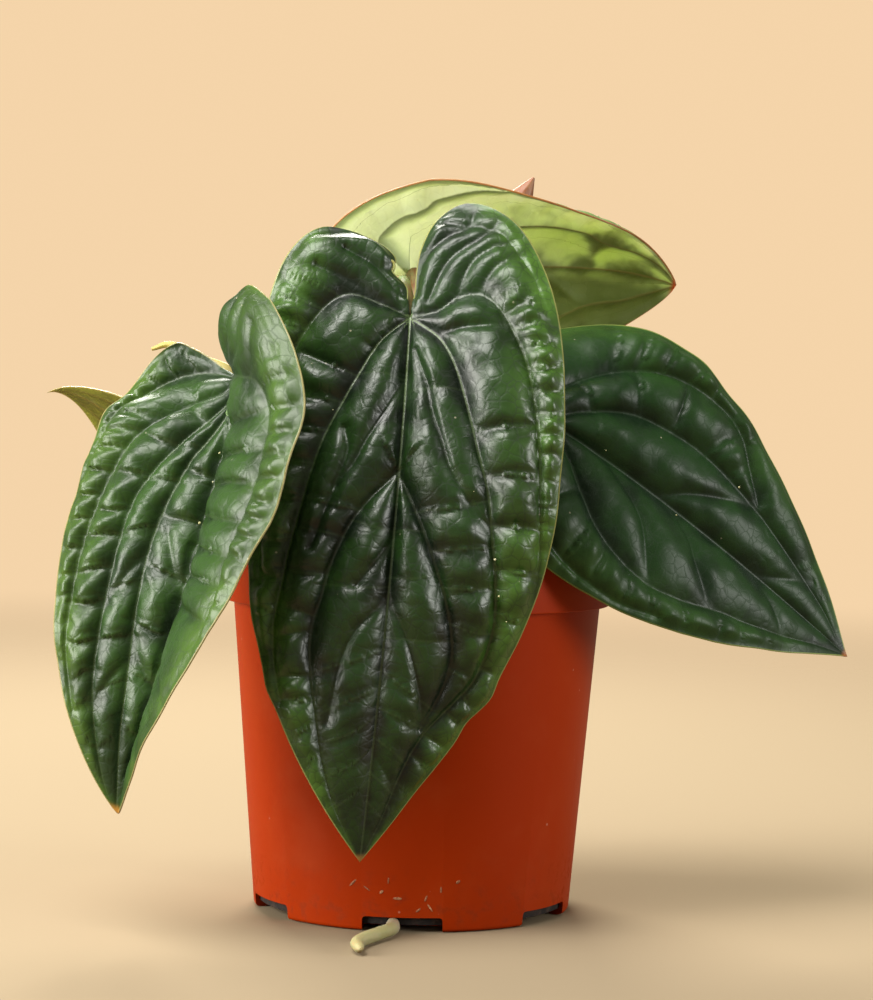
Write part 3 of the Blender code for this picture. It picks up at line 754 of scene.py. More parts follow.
@dataclass
class BladeSurface:
    """The smooth surface of one blade, as a mapping from the flat leaf to space, in metres."""

    form: BladeForm

    def __post_init__(self) -> None:
        """Work out the midrib's curve and its directions."""
        t = np.linspace(0.0, 1.0, 401)[:, None]
        a, b, c = (np.array(q) for q in (self.form.notch, self.form.knee, self.form.tip))
        self.spine = (1 - t) ** 2 * a + 2 * t * (1 - t) * b + t * t * c
        way = 2 * (1 - t) * (b - a) + 2 * t * (c - b)
        self.way = way / np.linalg.norm(way, axis=1, keepdims=True)
        self.run = run_along(self.spine)
        self.length = float(self.run[-1])

    def half(self, side: int) -> Half:
        """Return the left (-1) or right (1) half."""
        return self.form.right if side > 0 else self.form.left

    def outer(self, v: np.ndarray, side: int) -> np.ndarray:
        """Find the half width, from the midline to the margin.

        Args:
            v: Distances past the notch.
            side: The half.

        Returns:
            The half width at each.
        """
        half = self.half(side)
        widest = self.form.widest * self.length
        up = np.clip((widest - v) / (half.lobe + widest), 0, 1)
        low = np.clip((v - widest) / (self.length - widest), 0, 1)
        a, b = self.form.taper
        above = half.lobe_apex + (half.width - half.lobe_apex) * np.sqrt(np.clip(1 - up ** 2.3, 0, 1))
        below = half.width * (1 - low ** a) ** b
        return np.where(v < widest, above, below) + swell(v, half.kinks)

    def inner(self, v: np.ndarray, side: int) -> np.ndarray:
        """Find how far the lobe's inner margin lies from the midline, behind the notch.

        Args:
            v: Distances past the notch.
            side: The half.

        Returns:
            The distance at each.
        """
        half = self.half(side)
        start = half.straight * half.lobe
        k = np.clip((-v - start) / (half.lobe - start), 0, 1)
        narrow = self.form.gap * np.clip(-v / (0.25 * half.lobe), 0, 1)
        arc = 1 - np.sqrt(1 - k ** 2)
        return narrow + (half.lobe_apex - narrow) * (arc + half.open * (k - arc)) + swell(v, half.bites)

    def station(self, v: np.ndarray, trio: Trio, side: int) -> np.ndarray:
        """Blend three values given at the lobe's top, the widest row and the tip.

        Args:
            v: Distances past the notch.
            trio: The three values.
            side: The half.

        Returns:
            The value at each.
        """
        half = self.half(side)
        widest = self.form.widest * self.length
        up = smooth_share(v, -half.lobe, widest)
        low = smooth_share(v, widest, self.length)
        a, b, c = trio
        return np.where(v < widest, a + (b - a) * up, b + (c - b) * low)

    def axes(self, v: np.ndarray, side: int) -> tuple[np.ndarray, np.ndarray, np.ndarray]:
        """Find the blade's own axes along the midline.

        Args:
            v: Distances past the notch.
            side: The half.

        Returns:
            The midline's points, face normals and sideways directions.
        """
        along = np.clip(v, 0, self.length)
        place = read_along(along, self.run, self.spine)
        way = read_along(along, self.run, self.way)
        share = (along / self.length)[..., None]
        first = np.array(self.form.face_notch) / np.linalg.norm(self.form.face_notch)
        last = np.array(self.form.face_tip) / np.linalg.norm(self.form.face_tip)
        face = first * (1 - share) + last * share
        face = face - (face * way).sum(-1, keepdims=True) * way
        face /= np.linalg.norm(face, axis=-1, keepdims=True)
        back = np.clip(-v, 0, None)[..., None]
        rate = math.radians(self.half(side).bend) / self.half(side).lobe
        turn = rate * back
        place = place - (np.sin(turn) / rate * way + (1 - np.cos(turn)) / rate * face)
        bent_way = np.cos(turn) * way + np.sin(turn) * face
        bent_face = np.cos(turn) * face - np.sin(turn) * way
        return place, bent_face, np.cross(bent_face, bent_way)

    def point(self, u: np.ndarray, v: np.ndarray, side: int) -> tuple[np.ndarray, np.ndarray]:
        """Map flat places to space.

        Args:
            u: Distances from the midline, along the blade.
            v: Distances past the notch.
            side: The half.

        Returns:
            Points on the smooth blade and its upward normals.
        """
        place, face, across = self.axes(v, side)
        half = self.half(side)
        fold = np.radians(self.station(v, half.fold, side))
        rate = np.radians(self.station(v, half.curl, side)) / half.width
        rate = np.where(np.abs(rate) < 1e-3, 1e-3, rate)
        turn = fold + rate * u
        sideways = ((np.sin(turn) - np.sin(fold)) / rate)[..., None]
        upward = ((np.cos(fold) - np.cos(turn)) / rate)[..., None]
        point = place + side * across * sideways + face * upward
        normal = np.cos(turn)[..., None] * face - side * np.sin(turn)[..., None] * across
        return point, normal


class Line(Enum):
    """The long lines of a blade that cross veins run between."""

    MIDRIB = "midrib"
    LEFT_BASAL = "left basal vein"
    LEFT_OUTER = "left collective vein"
    LEFT_LATERAL = "left lateral vein"
    LEFT_MARGIN = "left margin"
    RIGHT_BASAL = "right basal vein"
    RIGHT_OUTER = "right collective vein"
    RIGHT_LATERAL = "right lateral vein"
    RIGHT_MARGIN = "right margin"


@dataclass(frozen=True)
class Ladder:
    """Cross veins that leave one line at a pitch and end on the nearest of some others, in mm."""

    start: Line
    ends: tuple[Line, ...]
    pitch: float
    first: float
    last: float
    lean: float = 0.0
    reach: float = 22.0
    depth: float = 1.0
    level: bool = False           # rungs end where the first end line is level with their start


@dataclass(frozen=True)
class VeinMap:
    """A blade's veins on the flat leaf, in mm. Creases are weaker long veins."""

    lines: dict[Line, tuple[Flat, ...]]
    creases: tuple[tuple[Flat, ...], ...]
    ladders: tuple[Ladder, ...]


@dataclass(frozen=True)
class Quilt:
    """How a blade is quilted, in mm: it domes between its long veins and sinks to the rungs.

    A pillow between two rungs rises with the power rise from the rung before it and falls with the
    power fall to the next one, so that the smaller power makes the steeper side.
    """

    relief: float
    rise: float = 0.65
    fall: float = 1.00
    rung_cut: float = 0.62
    dome: float = 0.95            # the smaller, the flatter the domes and the sharper the veins
    full_width: float = 13.0      # bands narrower than this are lower
    crease_width: float = 2.6
    crease_cut: float = 0.60
    net_cell: float = 5.4
    net_depth: float = 0.12
    ruffle: float = 1.6
    right_share: float = 1.0      # how high the right half's relief is beside the left half's


(MIDRIB, LEFT_BASAL, LEFT_OUTER, LEFT_LATERAL, LEFT_MARGIN,
 RIGHT_BASAL, RIGHT_OUTER, RIGHT_LATERAL, RIGHT_MARGIN) = Line

# How strongly the colour of each long vein shows; the margins have none
VEIN_WEIGHT = {MIDRIB: 1.0, LEFT_BASAL: 0.62, RIGHT_BASAL: 0.62, LEFT_LATERAL: 0.22, RIGHT_LATERAL: 0.22,
               LEFT_OUTER: 0.14, RIGHT_OUTER: 0.14}


@dataclass
class VeinField:
    """Distances from the veins of one blade, and the relief that they press into it, in mm."""

    surface: BladeSurface
    veins: VeinMap
    quilt: Quilt
    seed: int
    step: float = 0.3             # spacing of the points on the long lines
    edge_band: float = 4.5        # width of the margin's flatter band
    far: float = 9.0              # rungs further off than this don't count
    chunk: int = 1500             # places measured at one time

    def __post_init__(self) -> None:
        """Trace the veins, the rungs and the net's seeds."""
        self.random = random.Random(self.seed)
        self.lines = {line: curve_through(np.array(points), self.step)
                      for line, points in self.veins.lines.items()}
        self.lines[LEFT_MARGIN] = self.margin(-1)
        self.lines[RIGHT_MARGIN] = self.margin(1)
        self.long = [FlatLine(points, VEIN_WEIGHT.get(line, 0.0)) for line, points in self.lines.items()]
        self.creases = [FlatLine(curve_through(np.array(c), self.step)) for c in self.veins.creases]
        rungs = [(*rung, ladder.depth) for ladder in self.veins.ladders for rung in self.ladder_rungs(ladder)]
        self.rungs = np.vstack([points for points, _, _ in rungs])
        ways = np.vstack([np.gradient(points, axis=0) for points, _, _ in rungs])
        self.rung_ways = ways / np.linalg.norm(ways, axis=1, keepdims=True)
        self.falls = np.vstack([np.tile(fall, (len(points), 1)) for points, fall, _ in rungs])
        self.depths = np.concatenate([np.full(len(points), depth) for points, _, depth in rungs])
        self.seeds = self.net_seeds()

    def margin(self, side: int) -> np.ndarray:
        """Return the margin of one half as dense flat points."""
        v = np.linspace(-self.surface.half(side).lobe, self.surface.length, 900)
        return np.stack([side * self.surface.outer(v, side), v], axis=1) / MM

    def ladder_rungs(self, ladder: Ladder) -> list[tuple[np.ndarray, np.ndarray]]:
        """Trace one ladder's rungs.

        Args:
            ladder: The ladder.

        Returns:
            Each rung as flat points, with the direction that leads past it to the tip.
        """
        rail = self.lines[ladder.start]
        run = run_along(rail)
        targets = np.vstack([self.lines[line] for line in ladder.ends])
        found = []
        place = ladder.first
        while place < min(ladder.last, run[-1]):
            a, further = read_along(np.array([place, place + 1.0]), run, rail)
            ahead = further - a
            goal = a + ahead * (ladder.lean + self.random.uniform(-1.0, 1.0))
            away = targets - goal
            away = np.abs(away[:, 1]) if ladder.level else np.linalg.norm(away, axis=1)
            b = targets[np.argmin(away)]
            if 2.0 < np.linalg.norm(b - a) < ladder.reach:
                bow = (a + b) / 2 + ahead * self.random.uniform(-0.5, 1.0)
                found.append((curve_through(np.array([a, bow, b]), 0.5), ahead))
            place += ladder.pitch * self.random.uniform(0.82, 1.18)
        return found

    def net_seeds(self) -> np.ndarray:
        """Scatter the middles of the fine net's cells over the whole blade.

        Returns:
            The middles.
        """
        cell = self.quilt.net_cell
        reach = self.surface.form.left.width / MM + cell
        back = max(self.surface.form.left.lobe, self.surface.form.right.lobe) / MM + cell
        xs = np.arange(-reach, reach, cell)
        ys = np.arange(-back, self.surface.length / MM + cell, 0.8 * cell)
        jitter = 0.42 * cell
        return np.array([(x + self.random.uniform(-jitter, jitter), y + self.random.uniform(-jitter, jitter))
                         for y in ys for x in xs])

    def between_rungs(self, flat: np.ndarray) -> tuple[np.ndarray, np.ndarray, np.ndarray]:
        """Find how far the rungs before and past each place are.

        Args:
            flat: Places on the flat leaf.

        Returns:
            The distances from the last rung before each place and from the next one past it, and
            the nearer rung's depth.
        """
        last = np.full(len(flat), self.far)
        following = np.full(len(flat), self.far)
        depth = np.ones(len(flat))
        for start in range(0, len(flat), self.chunk):
            part = slice(start, start + self.chunk)
            dx = flat[part, 0, None] - self.rungs[None, :, 0]
            dy = flat[part, 1, None] - self.rungs[None, :, 1]
            along = np.abs(dx * self.rung_ways[None, :, 0] + dy * self.rung_ways[None, :, 1])
            along = 2.0 * np.maximum(along - 0.35, 0.0)
            across = dx * self.rung_ways[None, :, 1] - dy * self.rung_ways[None, :, 0]
            distance = np.sqrt(across * across + along * along)
            past = dx * self.falls[None, :, 0] + dy * self.falls[None, :, 1] > 0
            depth[part] = self.depths[distance.argmin(axis=1)]
            last[part] = np.minimum(self.far, np.where(past, distance, self.far).min(axis=1))
            following[part] = np.minimum(self.far, np.where(past, self.far, distance).min(axis=1))
        return last, following, depth

    def relief_at(self, flat: np.ndarray, edge: np.ndarray, narrow: np.ndarray) -> tuple[np.ndarray, ...]:
        """Work out the height of the quilted skin and what its finish reads.

        Args:
            flat: Places on the flat leaf.
            edge: Distance from each place to the margin.
            narrow: Share of the full half width there, which tames the relief at the ends.

        Returns:
            Heights in mm, the pillow's share, the signed distances from a long vein and a rung,
            and the weight of the nearest vein's colour.
        """
        q = self.quilt
        reach = np.stack([line.reach(flat) for line in self.long])
        left = np.where(reach > 0, reach, 40.0).min(axis=0)
        right = np.where(reach > 0, 40.0, -reach).min(axis=0)
        band = np.minimum(left, 20.0) + np.minimum(right, 20.0)
        pillow = np.clip(4 * left * right / (left + right + 0.01) ** 2, 0, 1) ** q.dome
        pillow = pillow * np.minimum(1.0, band / q.full_width) ** 0.7
        for crease in self.creases:
            away = np.abs(crease.reach(flat))
            pillow = pillow * (1 - q.crease_cut * np.exp(-(away / q.crease_width) ** 1.2))
        last, following, depth = self.between_rungs(flat)
        share = last / (last + following + 0.001)
        peak = q.rise / (q.rise + q.fall)
        top = peak ** q.rise * (1 - peak) ** q.fall
        rung = share ** q.rise * (1 - share) ** q.fall / top
        pillow = pillow * (1 - q.rung_cut * depth * (1 - rung))
        lumps = np.array([noise.noise((0.16 * x, 0.16 * y, 3.0)) for x, y in flat])
        ruffle = np.array([noise.noise((0.02 * x, 0.075 * y, 7.0)) for x, y in flat])
        height = q.relief * pillow * (1 + 0.15 * lumps)
        height = height * (1 + (q.right_share - 1) * smooth_share(flat[:, 0], 0.0, 6.0))
        to_net = net_distance(self.seeds, flat)
        height = height - q.net_depth * np.sqrt(pillow) * np.exp(-(to_net / 0.5) ** 2)
        inside = smooth_share(edge, 0.0, self.edge_band)
        height = height * (0.25 + 0.75 * inside)
        height = height + q.ruffle * ruffle * (1 - smooth_share(edge, 0.0, 14.0))
        nearest = np.abs(reach).argmin(axis=0)
        vein = reach[nearest, np.arange(len(flat))]
        weight = np.array([line.weight for line in self.long])[nearest]
        rung_side = np.where(last < following, last, -following)
        return height * narrow, pillow, vein, rung_side, weight


@dataclass
class LeafBlade:
    """A blade: the sheet of both halves, with the relief of its veins and a thickness."""

    name: str
    slot: str
    form: BladeForm
    veins: VeinMap
    top: LeafFinish
    below: LeafFinish
    quilt: Quilt
    columns: int
    rows: int
    lobe_rows: int
    seed: int
    pale_reach: float = 60.0      # how far past the notch the veins stay pale, mm
    tip_reach: float = 3.0        # length of the coloured tip, mm
    thickness: float = 0.0005
    surface: BladeSurface = field(init=False)
    field_: VeinField = field(init=False)

    def __post_init__(self) -> None:
        """Make the surface and the vein field."""
        self.surface = BladeSurface(self.form)
        self.field_ = VeinField(self.surface, self.veins, self.quilt, self.seed)

    def half_sheet(self, side: int) -> bpy.types.Mesh:
        """Shape one half from a grid whose columns run from the midrib to the margin.

        Args:
            side: The half, -1 or 1.

        Returns:
            A mesh with the attributes flat, lines, sizes and zones.
        """
        surface = self.surface
        bm = bmesh.new()
        bmesh.ops.create_grid(bm, x_segments=self.columns, y_segments=self.rows, size=0.5)
        place = np.array([vertex.co for vertex in bm.verts])
        share = np.rint((place[:, 0] + 0.5) * self.columns) / self.columns
        row = np.rint((place[:, 1] + 0.5) * self.rows)
        lobe = surface.half(side).lobe
        behind = -lobe * np.cos(0.5 * np.pi * np.minimum(row, self.lobe_rows) / self.lobe_rows)
        ahead = surface.length * (row - self.lobe_rows) / (self.rows - self.lobe_rows)
        v = np.where(row < self.lobe_rows, behind, ahead)
        v[row == 0] = -lobe
        near = np.where(v < 0, surface.inner(v, side), 0.0)
        outer = surface.outer(v, side)
        u = near + (outer - near) * share
        flat = np.stack([side * u, v], axis=1) / MM
        edge = (outer - u) / MM
        edge = np.where(v < 0, np.minimum(edge, (u - near) / MM + 40.0 * smooth_share(-v, 0.006, 0.0)), edge)
        narrow = np.clip(outer / surface.half(side).width, 0, 1) ** 0.8
        narrow = narrow * smooth_share(v, -lobe, -0.80 * lobe)
        other = surface.outer(v, -side)
        own = smooth_share(u, 0.0, 0.003)
        common = 0.5 * (narrow + np.clip(other / surface.half(-side).width, 0, 1) ** 0.8)
        narrow = np.where(v < 0, narrow, common + (narrow - common) * own)
        edge = np.where(v < 0, edge, edge + (0.5 * (outer + other) - outer) / MM * (1 - own))
        height, lift, vein, rung, weight = self.field_.relief_at(flat, edge, narrow)
        point, normal = surface.point(u, v, side)
        face = surface.axes(v, side)[1]
        normal = face + (normal - face) * own[:, None]
        normal = normal / np.linalg.norm(normal, axis=1, keepdims=True)
        place = point + normal * height[:, None] * MM
        length = surface.length / MM
        tip = smooth_share(flat[:, 1], length - self.tip_reach, length - 0.3 * self.tip_reach)
        pale = np.exp(-np.clip(flat[:, 1], 0, None) / self.pale_reach)
        values = {
            "flat": np.column_stack([flat, lift]),
            "lines": np.column_stack([vein, rung, edge]),
            "sizes": np.column_stack([np.abs(vein), np.abs(rung), weight]),
            "zones": np.column_stack([tip, pale, share]),
        }
        for name, rows in values.items():
            layer = bm.verts.layers.float_vector.new(name)
            for vertex, value in zip(bm.verts, rows.tolist()):
                vertex[layer] = value
        for vertex, co in zip(bm.verts, place.tolist()):
            vertex.co = co
        if side > 0:
            bmesh.ops.reverse_faces(bm, faces=bm.faces)
        mesh = bpy.data.meshes.new(f"{self.name}_half")
        bm.to_mesh(mesh)
        bm.free()
        return mesh

    def build(self) -> None:
        """Join the halves on the midrib, thicken the sheet and dress both sides."""
        bm = bmesh.new()
        for side in (-1, 1):
            bm.from_mesh(self.half_sheet(side))
        bmesh.ops.remove_doubles(bm, verts=bm.verts, dist=0.000004)
        bmesh.ops.dissolve_degenerate(bm, edges=bm.edges, dist=0.000001)
        blade = object_from(bm, self.name + "_skin", [self.top.build(), self.below.build()], 180.0)
        wall = blade.modifiers.new("thickness", "SOLIDIFY")
        wall.thickness = self.thickness
        wall.offset = -1.0
        wall.material_offset = 1
        finish_piece(blade, [self.name])


@dataclass
class CurledEdge:
    """The rolled-out margin along one lobe's notch, which ends in a small loop."""

    name: str
    form: BladeForm
    side: int
    start: float                  # distance behind the notch, in metres
    end: float
    radius: float
    loop: tuple[float, float]     # half width and half height of the loop

    def build(self) -> None:
        """Bend a tube along the margin and close it with the loop."""
        surface = BladeSurface(self.form)
        v = -np.linspace(self.start, self.end, 9)
        point, normal = surface.point(surface.inner(v, self.side) + 0.0002, v, self.side)
        path = curve_through(point + normal * 0.0006, 0.0004)
        bm = tube(path, 12, lambda share, turn: self.radius * (0.20 + 0.50 * share))
        wide, high = self.loop
        centre = path[-1] + np.array((-0.4 * wide, -0.0002, 0.6 * high))
        turn = np.linspace(-0.35 * math.pi, 1.70 * math.pi, 60)
        ring = np.stack([centre[0] + wide * np.cos(turn), centre[1] + 0.25 * wide * np.sin(turn),
                         centre[2] + high * np.sin(turn)], axis=1)
        absorb(bm, tube(ring, 12, lambda share, turn: self.radius * (0.5 + 0.5 * math.sin(math.pi * share))))
        make_piece(bm, self.name, CURL, "")


@dataclass
class LeafSpecks:
    """Tiny grains that lie on a blade; each speck is its place on the flat leaf and its size, in mm."""

    name: str
    form: BladeForm
    lift: float                   # how far the grains stand off the smooth blade, in mm
    specks: tuple[Trio, ...]

    def build(self) -> None:
        """Lay each grain on the blade, all as one piece."""
        surface = BladeSurface(self.form)
        bm = bmesh.new()
        for u, v, size in self.specks:
            side = 1 if u >= 0 else -1
            point, normal = surface.point(np.array(abs(u) * MM), np.array(v * MM), side)
            made = bmesh.ops.create_icosphere(bm, subdivisions=1, radius=0.5 * size * MM)["verts"]
            bmesh.ops.translate(bm, vec=Vector(point + normal * self.lift * MM), verts=made)
        make_piece(bm, self.name, SPECK, "")


def absorb(bm: BMesh, part: BMesh) -> None:
    """Add a small bmesh to a larger one.

    Args:
        bm: The larger one.
        part: The small one, which is freed.
    """
    mesh = bpy.data.meshes.new("part")
    part.to_mesh(mesh)
    part.free()
    bm.from_mesh(mesh)
    bpy.data.meshes.remove(mesh)


def tube(path: np.ndarray, sides: int, radius_at: Callable[[float, float], float]) -> BMesh:
    """Bend a closed tube along a path; its attribute stem gets the share of the length and the turn.

    Args:
        path: The dense middle line, in metres.
        sides: Faces round the tube.
        radius_at: Gives the radius for a share of the length and a turn from 0 to 1.

    Returns:
        The tube.
    """
    rings = len(path) - 1
    bm = bmesh.new()
    layer = bm.verts.layers.float_vector.new("stem")
    bmesh.ops.create_cone(bm, cap_ends=True, segments=sides, radius1=1.0, radius2=1.0, depth=1.0)
    rails = [e for e in bm.edges if abs(e.verts[0].co.z - e.verts[1].co.z) > 0.5]
    bmesh.ops.subdivide_edges(bm, edges=rails, cuts=rings - 1)
    way = np.gradient(path, axis=0)
    way /= np.linalg.norm(way, axis=1, keepdims=True)
    first = np.cross(way[0], (0.0, 0.0, 1.0) if abs(way[0][2]) < 0.9 else (0.0, 1.0, 0.0))
    across = [first / np.linalg.norm(first)]
    for w in way[1:]:
        a = across[-1] - np.dot(across[-1], w) * w
        across.append(a / np.linalg.norm(a))
    for vertex in bm.verts:
        ring = round((vertex.co.z + 0.5) * rings)
        turn = math.atan2(vertex.co.y, vertex.co.x) / (2 * math.pi) + 0.5
        share = ring / rings
        side = across[ring]
        up = np.cross(way[ring], side)
        angle = 2 * math.pi * turn
        vertex.co = path[ring] + radius_at(share, turn) * (math.cos(angle) * side + math.sin(angle) * up)
        vertex[layer] = (share, turn, 0.0)
    bmesh.ops.recalc_face_normals(bm, faces=bm.faces)
    return bm


@dataclass
class Stalk:
    """A stalk with a shallow channel, a swollen knuckle under the blade and a sheathed foot."""

    name: str
    route: tuple[Point, ...]
    base_radius: float
    top_radius: float
    blade: BladeForm
    finish: StemFinish
    neck: float = 0.0044
    blade_gap: float = 0.0008

    def radius_at(self, share: float, turn: float) -> float:
        """Find the radius, with the channel, the ribs and the knuckle's rings.

        Args:
            share: The share of the length.
            turn: The turn round the stalk, from 0 to 1.

        Returns:
            The radius.
        """
        radius = self.base_radius + (self.top_radius - self.base_radius) * min(1.0, 1.6 * share)
        radius *= 1.0 + 0.22 * math.exp(-((share - 0.93) / 0.05) ** 2)
        radius *= 1.0 + 0.25 * math.exp(-(share / 0.06) ** 2)
        radius *= 0.80 if share > 0.9999 else 1.0
        channel = 0.14 * math.exp(-((turn - 0.5) / 0.09) ** 2) * (1 - math.exp(-((share - 0.93) / 0.07) ** 2))
        ribs = 0.02 * math.cos(2 * math.pi * 9 * turn)
        rings = 0.03 * math.sin(90 * share) * math.exp(-((share - 0.93) / 0.04) ** 2)
        return radius * (1.0 - channel + ribs + rings)

    def build(self) -> None:
        """Bend the stalk from its foot in the crown to the blade's notch."""
        surface = BladeSurface(self.blade)
        place, face, _ = surface.axes(np.array(0.0), 1)
        under = place - face * self.blade_gap
        route = np.array([*self.route, under - face * self.neck, under])
        bm = tube(curve_through(route, 0.0012), 24, self.radius_at)
        make_piece(bm, self.name + "_skin", self.finish, self.name)


@dataclass
class FurledLeaf:
    """A young leaf that is still rolled up on its own stalk, with one edge lapped over the other."""

    name: str
    slot: str
    route: tuple[Point, ...]
    radii: tuple[float, ...]
    finish: StemFinish
    rolled_from: float
    lap: float = 0.16

    def radius_at(self, share: float, turn: float) -> float:
        """Find the radius of the roll, which steps in at the lapped edge.

        Args:
            share: The share of the length.
            turn: The turn round the roll, from 0 to 1.

        Returns:
            The radius.
        """
        marks = np.linspace(0.0, 1.0, len(self.radii))
        radius = float(np.interp(share, marks, self.radii))
        rolled = float(smooth_share(np.array(share), self.rolled_from, self.rolled_from + 0.12))
        edge = (turn + 0.22 * share) % 1.0
        return radius * (1.0 + rolled * self.lap * (edge - 0.6) + 0.03 * rolled * math.cos(40 * edge))

    def build(self) -> None:
        """Bend the roll and its stalk along the route."""
        bm = tube(curve_through(np.array(self.route), 0.0010), 40, self.radius_at)
        make_piece(bm, self.name + "_skin", self.finish, self.name, 35.0)


@dataclass
class StrayRoot:
    """The root that has grown out of the front slot and lies on the surface."""

    route: tuple[Point, ...]
    radius: float

    def radius_at(self, share: float, turn: float) -> float:
        """Find the radius, with soft lumps and a round tip.

        Args:
            share: The share of the length.
            turn: The turn round the root, from 0 to 1.

        Returns:
            The radius.
        """
        lumps = 0.07 * noise.noise((6 * share, 3 * math.cos(ROUND * turn), 3 * math.sin(ROUND * turn)))
        tip = math.sqrt(max(0.0, 1 - max(0.0, share - 0.93) / 0.075))
        return self.radius * (1.0 - 0.35 * share ** 6 + lumps) * tip

    def build(self) -> None:
        """Bend the root along its route."""
        bm = tube(curve_through(np.array(self.route), 0.0006), 32, self.radius_at)
        make_piece(bm, "root_skin", ROOT_SKIN, "root")


def inner_radius(height: float) -> float:
    """Return the radius of the pot's inner wall at a height below the rim band."""
    slope = (POT_NECK_RADIUS - POT_BASE_RADIUS) / RIM_BOTTOM
    return POT_BASE_RADIUS + slope * height - WALL


def rounded(corners: Sequence[Trio]) -> list[Flat]:
    """Round the corners of a profile with arcs of four steps.

    Args:
        corners: Radius, height and rounding of each corner.

    Returns:
        The profile's points.
    """
    points = []
    for i, (x, z, size) in enumerate(corners):
        if size == 0 or i in (0, len(corners) - 1):
            points.append((x, z))
            continue
        here = Vector((x, z))
        back = (Vector(corners[i - 1][:2]) - here).normalized() * size
        ahead = (Vector(corners[i + 1][:2]) - here).normalized() * size
        for t in (0.0, 0.25, 0.5, 0.75, 1.0):
            spot = (1 - t) ** 2 * (here + back) + 2 * t * (1 - t) * here + t * t * (here + ahead)
            points.append(tuple(spot))
    return points


def spun(profile: Sequence[Flat], steps: int) -> BMesh:
    """Spin a profile of radius and height round the pot's axis.

    Args:
        profile: The profile, down its outer side.
        steps: Steps of the full turn.

    Returns:
        The closed shape, with its normals outwards.
    """
    bm = bmesh.new()
    verts = [bm.verts.new((x, 0.0, z)) for x, z in profile]
    edges = [bm.edges.new(pair) for pair in zip(verts, verts[1:])]
    bmesh.ops.spin(bm, geom=verts + edges, axis=(0, 0, 1), cent=(0, 0, 0), angle=2 * math.pi, steps=steps,
                   use_merge=True)
    bmesh.ops.remove_doubles(bm, verts=bm.verts, dist=0.00001)
    bmesh.ops.recalc_face_normals(bm, faces=bm.faces)
    return bm


@dataclass
class Pot:
    """The nursery pot: a thin tapered wall, a rim band, a recessed underside and drainage slots."""

    steps: int = 160
    sharp: float = 35.0           # edges sharper than this many degrees stay sharp

    def profile(self) -> list[Flat]:
        """Draw the wall's outline.

        Returns:
            Its points: the inside first, then the rim, the outside and the underside.
        """
        top = POT_HEIGHT
        rim = RIM_RADIUS + RIM_FLARE
        fine = 0.0004
        return rounded([
            (0.0, FLOOR, 0.0),
            (inner_radius(FLOOR), FLOOR, 0.0012),
            (inner_radius(RIM_BOTTOM), RIM_BOTTOM + WALL, fine),
            (RIM_RADIUS - WALL, RIM_BOTTOM + WALL, fine),
            (rim - WALL, top + 0.0003, fine),
            (rim, top + 0.0003, 0.0006),
            (rim, top - 0.0014, fine),
            (rim - 0.0003, top - 0.0018, fine),
            (RIM_RADIUS, RIM_BOTTOM, fine),
            (POT_NECK_RADIUS, RIM_BOTTOM, 0.0002),
            (POT_BASE_RADIUS, 0.0003, 0.0011),
            (POT_BASE_RADIUS - 0.0030, 0.0, 0.0006),
            (POT_BASE_RADIUS - 0.0055, 0.0006, fine),
            (0.0, 0.0006, 0.0),
        ])

    def slot_cutter(self, turn: float) -> bpy.types.Object:
        """Make the block with rounded corners that cuts one slot.

        Args:
            turn: The slot's azimuth in degrees.

        Returns:
            The cutter, which the caller removes.
        """
        bm = bmesh.new()
        bmesh.ops.create_cube(bm, size=1.0)
        size = Vector((2 * SLOT_DEPTH, SLOT_WIDTH, 2 * SLOT_HEIGHT))
        bmesh.ops.scale(bm, vec=size, verts=bm.verts)
        uprights = [e for e in bm.edges if abs(e.verts[0].co.x - e.verts[1].co.x) > SLOT_DEPTH]
        bmesh.ops.bevel(bm, geom=uprights, offset=0.0011, segments=3, profile=0.5, affect="EDGES",
                        material=-1)
        bmesh.ops.translate(bm, vec=(POT_BASE_RADIUS, 0.0, 0.0), verts=bm.verts)
        matrix = Matrix.Rotation(math.radians(turn), 3, "Z")
        bmesh.ops.rotate(bm, cent=(0, 0, 0), matrix=matrix, verts=bm.verts)
        return object_from(bm, "slot_cutter", [])

    def build(self) -> None:
        """Spin the wall and cut the slots."""
        pot = object_from(spun(self.profile(), self.steps), "pot_shell", [TERRACOTTA.build()], self.sharp)
        cutters = [self.slot_cutter(SLOT_FIRST_ANGLE + i * 360.0 / SLOT_COUNT) for i in range(SLOT_COUNT)]
        for cutter in cutters:
            cut = pot.modifiers.new("slot", "BOOLEAN")
            cut.operation = "DIFFERENCE"
            cut.solver = "EXACT"
            cut.object = cutter
        bpy.context.view_layer.update()
        graph = bpy.context.evaluated_depsgraph_get()
        mesh = bpy.data.meshes.new_from_object(pot.evaluated_get(graph))
        pot.modifiers.clear()
        pot.data = mesh
        mesh.set_sharp_from_angle(angle=math.radians(self.sharp))
        for cutter in cutters:
            bpy.data.objects.remove(cutter, do_unlink=True)
        finish_piece(pot, ["pot"])


